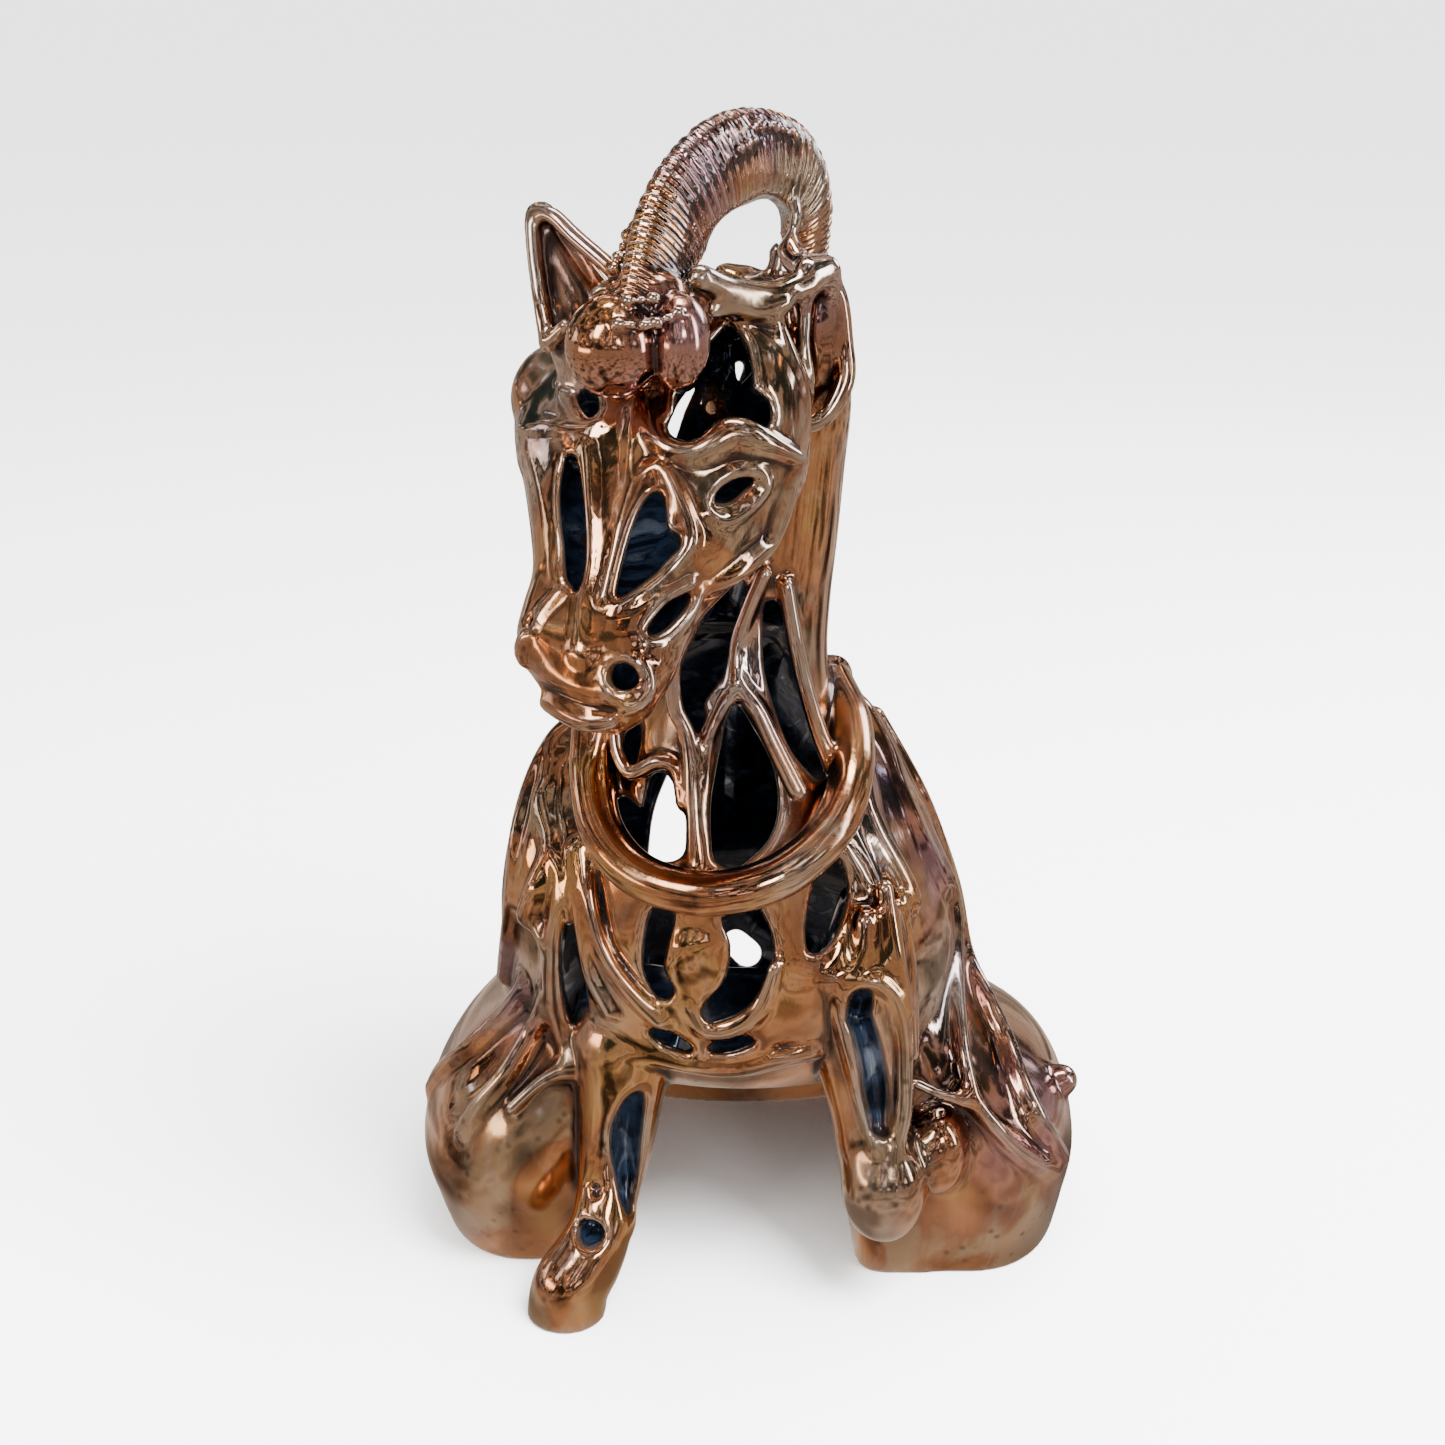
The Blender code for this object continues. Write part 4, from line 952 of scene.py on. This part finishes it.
class Part(Enum):
    """The attributes that the finish reads from the mesh."""

    INSIDE = "inside"
    RIDGE = "ridge"
    ROSE = "rose"
    SILVER = "silver"
    HAIR = "hair"
    HAIRY = "hairy"


@dataclass
class HorseCasting:
    """The whole casting: melts the forms, hollows and pierces them, and makes the mesh.

    Metal deeper than hidden_depth under the closed skin is seen only through the openings, and keeps
    inner_share of its triangles. Points below ground lie flat on the floor. settle is how far a point may
    move onto the surface, and feel how far off the distance is read to tell ridges from valleys.
    """

    step: float = 1.2
    triangles: int = 196_000
    inner_share: float = 0.12
    hidden_depth: float = 0.75 * WALL
    ground: float = 0.3
    settle: float = 0.4
    feel: float = 3.0
    low: Row = (-125.0, -150.0, -6.0)
    high: Row = (165.0, 150.0, 436.0)
    body: BodyForm = field(default_factory=BodyForm)
    head: HeadForm = field(default_factory=HeadForm)
    openings: Openings = field(default_factory=Openings)
    harness: Harness = field(default_factory=Harness)
    drapery: Drapery = field(default_factory=Drapery)
    mane: Mane = field(default_factory=Mane)
    ears: Ears = field(default_factory=Ears)
    face: Face = field(default_factory=Face)
    forelegs: Forelegs = field(default_factory=Forelegs)
    back: Back = field(default_factory=Back)
    rosy: Rows = (
        (130, -30, 60, 34), (108, -20, 110, 26), (84, -10, 150, 22), (70, -20, 190, 20), (2, -50, 404, 26),
        (-4, -80, 362, 14), (-20, -84, 345, 12), (20, -10, 420, 16), (-30, -60, 395, 14), (44, -30, 370, 16),
        (20, -60, 250, 26), (-70, -20, 110, 20),
    )
    # Places of painted silver highlights, as (x, y, z, reach).
    painted_silver_highlights: Rows = (
        (-50, -60, 345, 22), (10, -46, 240, 20), (26, -50, 190, 18), (60, -40, 170, 14), (66, -66, 40, 16),
        (-48, -40, 386, 12), (95, -30, 110, 16), (40, -30, 376, 14), (-40, -60, 120, 14), (34, -74, 178, 13),
        (60, -56, 110, 14), (70, -56, 90, 14), (-44, -68, 20, 10),
    )

    def melt_together(self) -> tuple[Casting, Casting]:
        """Works out the casting.

        Returns:
            The finished metal, and the closed skin before it was hollowed.
        """
        metal = Casting(self.low, self.high, self.step)
        self.body.add_to(metal)
        self.head.add_to(metal)
        metal.even_out()
        skin = Casting(self.low, self.high, self.step)
        skin.values = metal.values.copy()
        metal.hollow(WALL)
        self.openings.cut_from(metal)
        plain = (self.drapery, self.harness, self.ears, self.face, self.forelegs, self.back)
        for piece in (*plain, self.mane):
            piece.add_to(skin)
        for piece in plain:
            piece.add_to(metal)
        for piece in (self.drapery, self.ears, self.face, self.forelegs):
            piece.cut_from(metal)
        metal.soften(1)
        self.mane.add_to(metal)
        self.mane.cut_from(metal)
        metal.stand()
        return metal, skin

    def build(self) -> bpy.types.Object:
        """Makes the casting's object.

        Returns:
            A mesh object at the origin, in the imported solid's own axes and in metres.
        """
        metal, skin = self.melt_together()
        points, quads = metal.surface()
        hidden = skin.read(points) < -self.hidden_depth
        inner = float(hidden[quads].all(axis=1).mean())
        log.info("surface: %d points, %d quads, %.2f of them inside", len(points), len(quads), inner)
        obj = mesh_object("horse_casting", points / PER_METRE, quads)
        obj.vertex_groups.new(name="inner").add(np.flatnonzero(hidden).tolist(), 1.0, "REPLACE")
        thinned(obj, int(2 * len(quads) * (1 - inner * (1 - self.inner_share))), "inner")
        thinned(obj, self.triangles)
        self.dress(obj.data, metal, skin)
        return obj

    def dress(self, mesh: bpy.types.Mesh, metal: Casting, skin: Casting) -> None:
        """Settles a mesh on the metal's surface, gives it smooth normals and the attributes of its finish.

        Args:
            mesh: The casting's mesh, in design metres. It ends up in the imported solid's axes.
            metal: The finished metal.
            skin: The closed skin before it was hollowed.
        """
        points = np.empty(len(mesh.vertices) * 3, dtype=np.float32)
        mesh.vertices.foreach_get("co", points)
        points = points.reshape(-1, 3).astype(float) * PER_METRE
        grounded = points[:, 2] < self.ground
        reach = metal.step * 0.8
        off = np.clip(metal.read(points), -self.settle, self.settle)[:, None]
        points -= np.where(grounded[:, None], 0, metal.slope(points, reach) * off)
        normal = metal.slope(points, reach)
        points[grounded, 2] = 0
        around = [metal.read(points + way * self.feel) for way in (*np.eye(3), *-np.eye(3))]
        crest = Casting(points.min(axis=0), points.max(axis=0), self.feel)
        crest.add(self.mane.arch(crest), 0)
        # The inside depth drives the painted shade of the openings, the ridge measure the painted highlights
        # and valley shade, and the silver nearness the painted silver highlights.
        looks = {
            Part.INSIDE: np.clip(-skin.read(points) / WALL, 0, 1),
            Part.RIDGE: sum(around) / 6 - metal.read(points),
            Part.ROSE: nearness(points, self.rosy),
            Part.SILVER: nearness(points, self.painted_silver_highlights),
            Part.HAIR: self.mane.run(*points.T),
            Part.HAIRY: np.clip(1.2 - np.abs(crest.read(points)) / 3.0, 0, 1),
        }
        for part, values in looks.items():
            layer = mesh.attributes.new(part.value, "FLOAT", "POINT")
            layer.data.foreach_set("value", values.astype(np.float32))
        mesh.vertices.foreach_set("co", to_frame(points).astype(np.float32).ravel())
        mesh.update()
        mesh.shade_smooth()
        mesh.normals_split_custom_set_from_vertices((normal @ CAD_AXES).tolist())


def nearness(points: np.ndarray, spots: Rows) -> np.ndarray:
    """How near points are to the nearest of some spots (x, y, z, reach): exp(-(distance / reach) squared)."""
    squares = [((points - spot[:3]) ** 2).sum(axis=1) / spot[3] ** 2 for spot in np.array(spots)]
    return np.exp(-np.min(squares, axis=0))


def mesh_object(name: str, points: np.ndarray, faces: np.ndarray) -> bpy.types.Object:
    """A new object with a mesh of these points and faces, linked to the scene."""
    mesh = bpy.data.meshes.new(name)
    mesh.vertices.add(len(points))
    mesh.vertices.foreach_set("co", points.astype(np.float32).ravel())
    mesh.loops.add(faces.size)
    mesh.loops.foreach_set("vertex_index", faces.astype(np.int32).ravel())
    mesh.polygons.add(len(faces))
    mesh.polygons.foreach_set("loop_start", np.arange(0, faces.size, faces.shape[1], dtype=np.int32))
    mesh.update(calc_edges=True)
    obj = bpy.data.objects.new(name, mesh)
    bpy.context.scene.collection.objects.link(obj)
    return obj


def thinned(obj: bpy.types.Object, triangles: int, group: str = "") -> None:
    """Leaves an object only as many triangles as asked, most of them where its shape turns.

    Args:
        obj: The object.
        triangles: How many triangles to leave.
        group: A vertex group outside which nothing is taken away.
    """
    now = sum(len(face.vertices) - 2 for face in obj.data.polygons)
    if now > triangles:
        fewer = obj.modifiers.new("fewer", "DECIMATE")
        fewer.ratio = triangles / now
        fewer.vertex_group = group
        fewer.use_collapse_triangulate = True
        mesh = bpy.data.meshes.new_from_object(obj.evaluated_get(bpy.context.evaluated_depsgraph_get()))
        obj.modifiers.clear()
        obj.data = mesh


@dataclass(frozen=True)
class Grain:
    """A layer of noise: waves per unit, detail, stretch and swirl, and the values between which it counts."""

    scale: float
    detail: float
    stretch: Row = (1.0, 1.0, 1.0)
    swirl: float = 0.0
    low: float = 0.0
    high: float = 1.0
    most: float = 1.0


class NodeBench:
    """A material's or a world's node tree, with short ways to add to it."""

    def __init__(self, tree: bpy.types.NodeTree) -> None:
        """Takes the tree over."""
        self.tree = tree

    def node(self, kind: str, settings: Optional[dict] = None, **inputs: object) -> bpy.types.Node:
        """Adds a node.

        Args:
            kind: Its type.
            settings: Its own properties.
            **inputs: Values or output sockets for its inputs, by name, with _ for a space, or i and a number.

        Returns:
            The node.
        """
        node = self.tree.nodes.new(kind)
        for name, value in (settings or {}).items():
            setattr(node, name, value)
        for name, value in inputs.items():
            key = int(name[1:]) if name[0] == "i" and name[1:].isdigit() else name.replace("_", " ")
            if isinstance(value, bpy.types.NodeSocket):
                self.tree.links.new(value, node.inputs[key])
            else:
                node.inputs[key].default_value = value
        return node

    def maths(self, operation: str, *values: object) -> bpy.types.NodeSocket:
        """The result of a sum on sockets and numbers."""
        inputs = {f"i{i}": value for i, value in enumerate(values)}
        return self.node("ShaderNodeMath", {"operation": operation}, **inputs).outputs[0]

    def blend(self, share: object, first: object, second: object, how: str = "MIX") -> bpy.types.NodeSocket:
        """Two colours mixed."""
        settings = {"data_type": "RGBA", "blend_type": how}
        return self.node("ShaderNodeMix", settings, i0=share, i6=first, i7=second).outputs[2]

    def ramp(self, value: object, stops: Sequence[tuple[float, Row]]) -> bpy.types.NodeSocket:
        """A colour read from stops of (place, colour)."""
        node = self.node("ShaderNodeValToRGB", i0=value)
        elements = node.color_ramp.elements
        while len(elements) < len(stops):
            elements.new(0.5)
        for element, (place, colour) in zip(elements, stops):
            element.position = place
            element.color = (*colour, 1.0)
        return node.outputs["Color"]

    def share(self, value: object, low: float, high: float, most: float = 1.0) -> bpy.types.NodeSocket:
        """How far a value has come from low to high, between 0 and most."""
        return self.node("ShaderNodeMapRange", Value=value, i1=low, i2=high, i3=0.0, i4=most).outputs[0]

    def noise(self, place: object, grain: Grain) -> bpy.types.NodeSocket:
        """Cloudy noise, drawn out along the axes whose stretch is small."""
        spread = self.node("ShaderNodeMapping", Vector=place, Scale=grain.stretch).outputs[0]
        inputs = {"Scale": grain.scale, "Detail": grain.detail, "Distortion": grain.swirl}
        return self.node("ShaderNodeTexNoise", Vector=spread, **inputs).outputs["Fac"]

    def layer(self, place: object, grain: Grain) -> bpy.types.NodeSocket:
        """How far the noise has come between the values where it counts."""
        return self.share(self.noise(place, grain), grain.low, grain.high, grain.most)

    def specks(self, place: object, scale: float, wide: float, narrow: float) -> bpy.types.NodeSocket:
        """Round specks, 1 inside their narrow radius and 0 outside the wide one, both in shares of a cell."""
        cells = self.node("ShaderNodeTexVoronoi", Vector=place, Scale=scale)
        return self.share(cells.outputs["Distance"], wide, narrow)

    def attribute(self, part: Part) -> bpy.types.NodeSocket:
        """One of the casting's own attributes."""
        return self.node("ShaderNodeAttribute", {"attribute_name": part.value}).outputs["Fac"]

    def in_mirror(self, plain: bpy.types.NodeSocket, mirrored: bpy.types.NodeSocket, end: str) -> None:
        """Ends the tree in one shader for the camera and another one for what metal mirrors."""
        ray = self.node("ShaderNodeLightPath").outputs["Is Glossy Ray"]
        mix = self.node("ShaderNodeMixShader", Fac=ray, i1=plain, i2=mirrored)
        self.tree.links.new(mix.outputs["Shader"], self.tree.nodes[end].inputs["Surface"])


@dataclass(frozen=True)
class LustreBronze:
    """Mirror-polished bronze with a copper, gold and violet lustre, painted highlights on its ridges, painted
    shade in its valleys and a near-black painted shade inside its openings.
    """

    copper: Row = (0.56, 0.265, 0.12)
    brown: Row = (0.37, 0.175, 0.09)
    gold: Row = (0.60, 0.35, 0.145)
    sage: Row = (0.45, 0.32, 0.21)
    rose: Row = (0.55, 0.33, 0.42)
    violet: Row = (0.22, 0.13, 0.24)
    silver: Row = (0.62, 0.56, 0.50)
    # spot darkens the metal's own specks and is also the painted shade in the valleys.
    spot: Row = (0.045, 0.028, 0.026)
    # dark and navy are the painted shade inside the openings, glint a painted highlight there.
    dark: Row = (0.008, 0.012, 0.022)
    navy: Row = (0.035, 0.060, 0.115)
    glint: Row = (0.15, 0.19, 0.26)
    sheen: Row = (0.50, 0.47, 0.43)
    clouds: Grain = Grain(22.0, 5.0, swirl=0.8)
    streaks: Grain = Grain(30.0, 8.0, (5.0, 5.0, 1.0), 1.0, 0.35, 0.65)
    swirls: Grain = Grain(13.0, 9.0, (1.0, 1.0, 0.6), 2.5, 0.030, 0.0, 0.14)
    patches: Grain = Grain(45.0, 3.0, low=0.42, high=0.60)
    rosiness: Grain = Grain(34.0, 2.0, low=0.36, high=0.56, most=0.85)
    veil: Grain = Grain(55.0, 4.0, swirl=1.5)
    polish: Grain = Grain(26.0, 5.0, low=0.40, high=0.66)
    brush: Grain = Grain(120.0, 4.0, (4.0, 4.0, 1.0))
    # The ridge shares paint highlights, silver on convex edges, and the silver share paints silver highlights
    # at the listed spots; the valley shares paint shade, the spot colour in hollows and creases.
    ridges: Row = (0.22, 0.75, 0.5)
    valleys: Row = (-0.04, -0.28, 0.90)
    silver_highlight_share: float = 0.8
    specks: Row = (150.0, 0.27, 0.07)
    specked: Row = (0.45, 0.55, 0.6)
    # inward: the depths below the closed skin, in shares of the wall, over which the colour turns to that
    # painted shade.
    inward: Row = (0.12, 0.75)
    inner_loss: float = -0.15
    smoothest: float = 0.06
    roughening: float = 0.15
    coat: float = 0.5
    coat_roughness: float = 0.04
    hair_pitch: float = 2.1
    hair_height: float = 0.30
    brush_height: float = 0.05

    def colour(self, bench: NodeBench, place: bpy.types.NodeSocket) -> bpy.types.NodeSocket:
        """The metal's colour: cloudy copper, brown and gold, streaked, spotted and rosy, with painted silver
        highlights and valley shade.
        """
        cloud = bench.noise(place, self.clouds)
        stops = [(0.33, self.gold), (0.45, self.copper), (0.54, self.brown), (0.61, self.sage)]
        base = bench.ramp(cloud, stops)
        base = bench.blend(bench.layer(place, self.streaks), base, (*self.sheen, 1), "SOFT_LIGHT")
        swirl = bench.maths("ABSOLUTE", bench.maths("SUBTRACT", bench.noise(place, self.swirls), 0.5))
        line = bench.share(swirl, self.swirls.low, self.swirls.high, self.swirls.most)
        base = bench.blend(line, base, (*self.silver, 1))
        tint = bench.blend(bench.layer(place, self.patches), (*self.rose, 1), (*self.violet, 1))
        rosy = bench.maths("MULTIPLY", bench.attribute(Part.ROSE), bench.layer(place, self.rosiness))
        base = bench.blend(rosy, base, tint)
        # Painted highlights: silver on convex ridges and at the listed silver spots.
        painted_silver_highlights = bench.maths("MULTIPLY", bench.attribute(Part.SILVER), self.silver_highlight_share)
        painted_highlight = bench.maths("MAXIMUM", bench.share(bench.attribute(Part.RIDGE), *self.ridges), painted_silver_highlights)
        base = bench.blend(painted_highlight, base, (*self.silver, 1))
        # Painted shade: the spot colour in hollows and creases.
        painted_valley_shade = bench.share(bench.attribute(Part.RIDGE), *self.valleys)
        base = bench.blend(painted_valley_shade, base, (*self.spot, 1))
        speck = bench.maths("MULTIPLY", bench.specks(place, *self.specks), bench.share(cloud, *self.specked))
        return bench.blend(speck, base, (*self.spot, 1))

    def height(self, bench: NodeBench, place: bpy.types.NodeSocket) -> bpy.types.NodeSocket:
        """The finest relief, in millimetres: hair, as a sine along the crest's run, and brush marks."""
        angle = bench.maths("MULTIPLY", bench.attribute(Part.HAIR), 2 * math.pi / self.hair_pitch)
        hair = bench.maths("MULTIPLY", bench.maths("SINE", angle), bench.attribute(Part.HAIRY))
        hair = bench.maths("MULTIPLY", hair, self.hair_height)
        return bench.maths("MULTIPLY_ADD", bench.noise(place, self.brush), self.brush_height, hair)

    def material(self) -> bpy.types.Material:
        """Builds the node tree.

        Returns:
            The material.
        """
        material = bpy.data.materials.new("lustre_bronze")
        material.use_nodes = True
        bench = NodeBench(material.node_tree)
        surface = bench.tree.nodes["Principled BSDF"]
        place = bench.node("ShaderNodeTexCoord").outputs["Object"]
        inside = bench.attribute(Part.INSIDE)
        # Painted shade inside the openings: near-black and navy with painted glints, reached with depth below
        # the skin.
        stops = [(0.42, self.dark), (0.52, self.navy), (0.57, self.dark), (0.66, self.glint)]
        within = bench.ramp(bench.noise(place, self.veil), stops)
        rough = bench.maths("MULTIPLY_ADD", bench.layer(place, self.polish), self.roughening, self.smoothest)
        bump = bench.node("ShaderNodeBump", Strength=1.0, Distance=0.001, Height=self.height(bench, place))
        linked = {
            "Base Color": bench.blend(bench.share(inside, *self.inward), self.colour(bench, place), within),
            "Metallic": bench.maths("MULTIPLY_ADD", inside, self.inner_loss, 1.0),
            "Roughness": rough,
            "Normal": bump.outputs["Normal"],
        }
        for name, value in linked.items():
            bench.tree.links.new(value, surface.inputs[name])
        surface.inputs["Coat Weight"].default_value = self.coat
        surface.inputs["Coat Roughness"].default_value = self.coat_roughness
        return material


@dataclass(frozen=True)
class Lamp:
    """A soft rectangular light, its place in design metres, its power in watts."""

    name: str
    place: Row
    size: Row
    power: float
    colour: Row
    mirrored: bool = True


@dataclass
class Studio:
    """The pale floor, the soft lights and the camera at the photograph's angle."""

    floor_reach: float = 60.0
    look: Row = (0.010, 0.0, 0.205)
    pitch: float = math.radians(20)
    distance: float = 0.816
    view_angle: float = math.radians(36)
    pale: float = 3.4
    mirrored_floor: Sequence[tuple[float, Row]] = (
        (0.36, (0.05, 0.04, 0.035)),
        (0.46, (0.38, 0.30, 0.24)),
        (0.54, (0.85, 0.70, 0.58)),
        (0.62, (0.30, 0.24, 0.20)),
    )
    mirrored_room: Sequence[tuple[float, Row]] = (
        (0.38, (0.01, 0.025, 0.02)), (0.46, (0.06, 0.05, 0.045)), (0.49, (0.62, 0.50, 0.42)),
        (0.54, (0.28, 0.22, 0.19)), (0.57, (0.02, 0.02, 0.025)), (0.63, (0.06, 0.055, 0.065)),
        (0.65, (2.2, 2.1, 2.3)),
    )
    sparkles: Sequence[tuple[float, float, Row]] = (
        (5.0, 0.16, (6.0, 3.2, 1.5)),
        (7.3, 0.15, (4.5, 5.0, 6.5)),
    )
    lamps: Sequence[Lamp] = (
        Lamp("soft", (0.7, -0.7, 1.6), (0.9, 0.9), 190.0, (1.0, 1.0, 1.0), mirrored=False),
        Lamp("key", (-0.8, -1.0, 1.2), (0.35, 0.6), 9.0, (1.0, 0.98, 0.95)),
        Lamp("side", (1.3, -0.3, 0.7), (0.15, 1.2), 8.0, (0.92, 0.95, 1.0)),
        Lamp("window", (0.5, -1.5, 0.9), (0.3, 0.3), 5.0, (1.0, 0.95, 0.9)),
        Lamp("top", (0.1, 0.3, 1.6), (0.9, 0.25), 14.0, (1.0, 1.0, 1.0)),
        Lamp("back", (0.9, 0.9, 0.8), (0.5, 0.5), 9.0, (0.80, 0.88, 1.0)),
        Lamp("low", (-1.3, -0.6, 0.25), (0.8, 0.12), 2.5, (1.0, 0.72, 0.5)),
    )
    lit: Row = (0.0, 0.0, 0.2)
    floor_grain: Grain = Grain(5.0, 3.0)
    room_grain: Grain = Grain(2.6, 3.0)
    sparkle_core: float = 0.08

    def spot(self, point: Row) -> Vector:
        """A design point, in metres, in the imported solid's axes."""
        return Vector(to_frame(np.array(point) * PER_METRE))

    def floor(self) -> None:
        """Lays the floor, a wide disc that looks dim in the metal's mirror."""
        corners = 64
        around = np.linspace(0, 2 * math.pi, corners, endpoint=False)
        rim = np.stack([np.cos(around), np.sin(around), 0 * around], axis=1) * self.floor_reach
        obj = mesh_object("studio_floor", rim, np.arange(corners)[None, :])
        material = bpy.data.materials.new("studio_floor")
        material.use_nodes = True
        bench = NodeBench(material.node_tree)
        surface = bench.tree.nodes["Principled BSDF"]
        surface.inputs["Base Color"].default_value = (0.86, 0.86, 0.86, 1)
        surface.inputs["Roughness"].default_value = 0.8
        surface.inputs["Specular IOR Level"].default_value = 0.0
        place = bench.node("ShaderNodeTexCoord").outputs["Object"]
        patches = bench.ramp(bench.noise(place, self.floor_grain), self.mirrored_floor)
        dim = bench.node("ShaderNodeEmission", Color=patches, Strength=1.0)
        bench.in_mirror(surface.outputs["BSDF"], dim.outputs["Emission"], "Material Output")
        obj.data.materials.append(material)

    def hang(self, lamp: Lamp) -> None:
        """Hangs a lamp that faces the horse."""
        data = bpy.data.lights.new(lamp.name, "AREA")
        data.shape = "RECTANGLE"
        data.size, data.size_y = lamp.size
        data.energy = lamp.power
        data.color = lamp.colour
        obj = bpy.data.objects.new(lamp.name, data)
        obj.visible_glossy = lamp.mirrored
        obj.location = self.spot(lamp.place)
        obj.rotation_mode = "QUATERNION"
        obj.rotation_quaternion = (Vector(self.lit) - obj.location).to_track_quat("-Z", "Y")
        bpy.context.scene.collection.objects.link(obj)

    def air(self) -> None:
        """The world: pale where the camera sees it, and a dim room with patches of light in the mirror."""
        world = bpy.data.worlds.new("studio")
        bpy.context.scene.world = world
        world.use_nodes = True
        bench = NodeBench(world.node_tree)
        seen = bench.tree.nodes["Background"]
        seen.inputs["Color"].default_value = (1.0, 1.0, 1.0, 1)
        seen.inputs["Strength"].default_value = self.pale
        way = bench.node("ShaderNodeTexCoord").outputs["Generated"]
        room = bench.ramp(bench.noise(way, self.room_grain), self.mirrored_room)
        for scale, reach, colour in self.sparkles:
            room = bench.blend(bench.specks(way, scale, reach, self.sparkle_core), room, (*colour, 1))
        mirrored = bench.node("ShaderNodeBackground", Color=room, Strength=1.0)
        bench.in_mirror(seen.outputs["Background"], mirrored.outputs["Background"], "World Output")

    def camera(self) -> None:
        """Sets up the camera."""
        data = bpy.data.cameras.new("camera")
        data.sensor_width = 36.0
        data.lens = data.sensor_width / 2 / math.tan(self.view_angle / 2)
        data.clip_start = 0.01
        obj = bpy.data.objects.new("camera", data)
        back = Vector((0, -math.cos(self.pitch), math.sin(self.pitch))) * self.distance
        eye = self.spot(tuple(Vector(self.look) + back))
        target = self.spot(self.look)
        obj.location = eye
        obj.rotation_mode = "QUATERNION"
        obj.rotation_quaternion = (target - eye).to_track_quat("-Z", "Y")
        bpy.context.scene.collection.objects.link(obj)
        bpy.context.scene.camera = obj

    def build(self) -> None:
        """Sets the stage."""
        self.floor()
        for lamp in self.lamps:
            self.hang(lamp)
        self.air()
        self.camera()


def main() -> None:
    """Builds the casting and the studio, and reports each piece."""
    logging.basicConfig(level=logging.INFO, format="%(name)s: %(message)s")
    casting = HorseCasting().build()
    casting.data.materials.append(LustreBronze().material())
    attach(casting, "root")
    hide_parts("horse")
    log.info("horse_casting: %d triangles", len(casting.data.polygons))
    Studio().build()


if __name__ == "__main__":
    main()
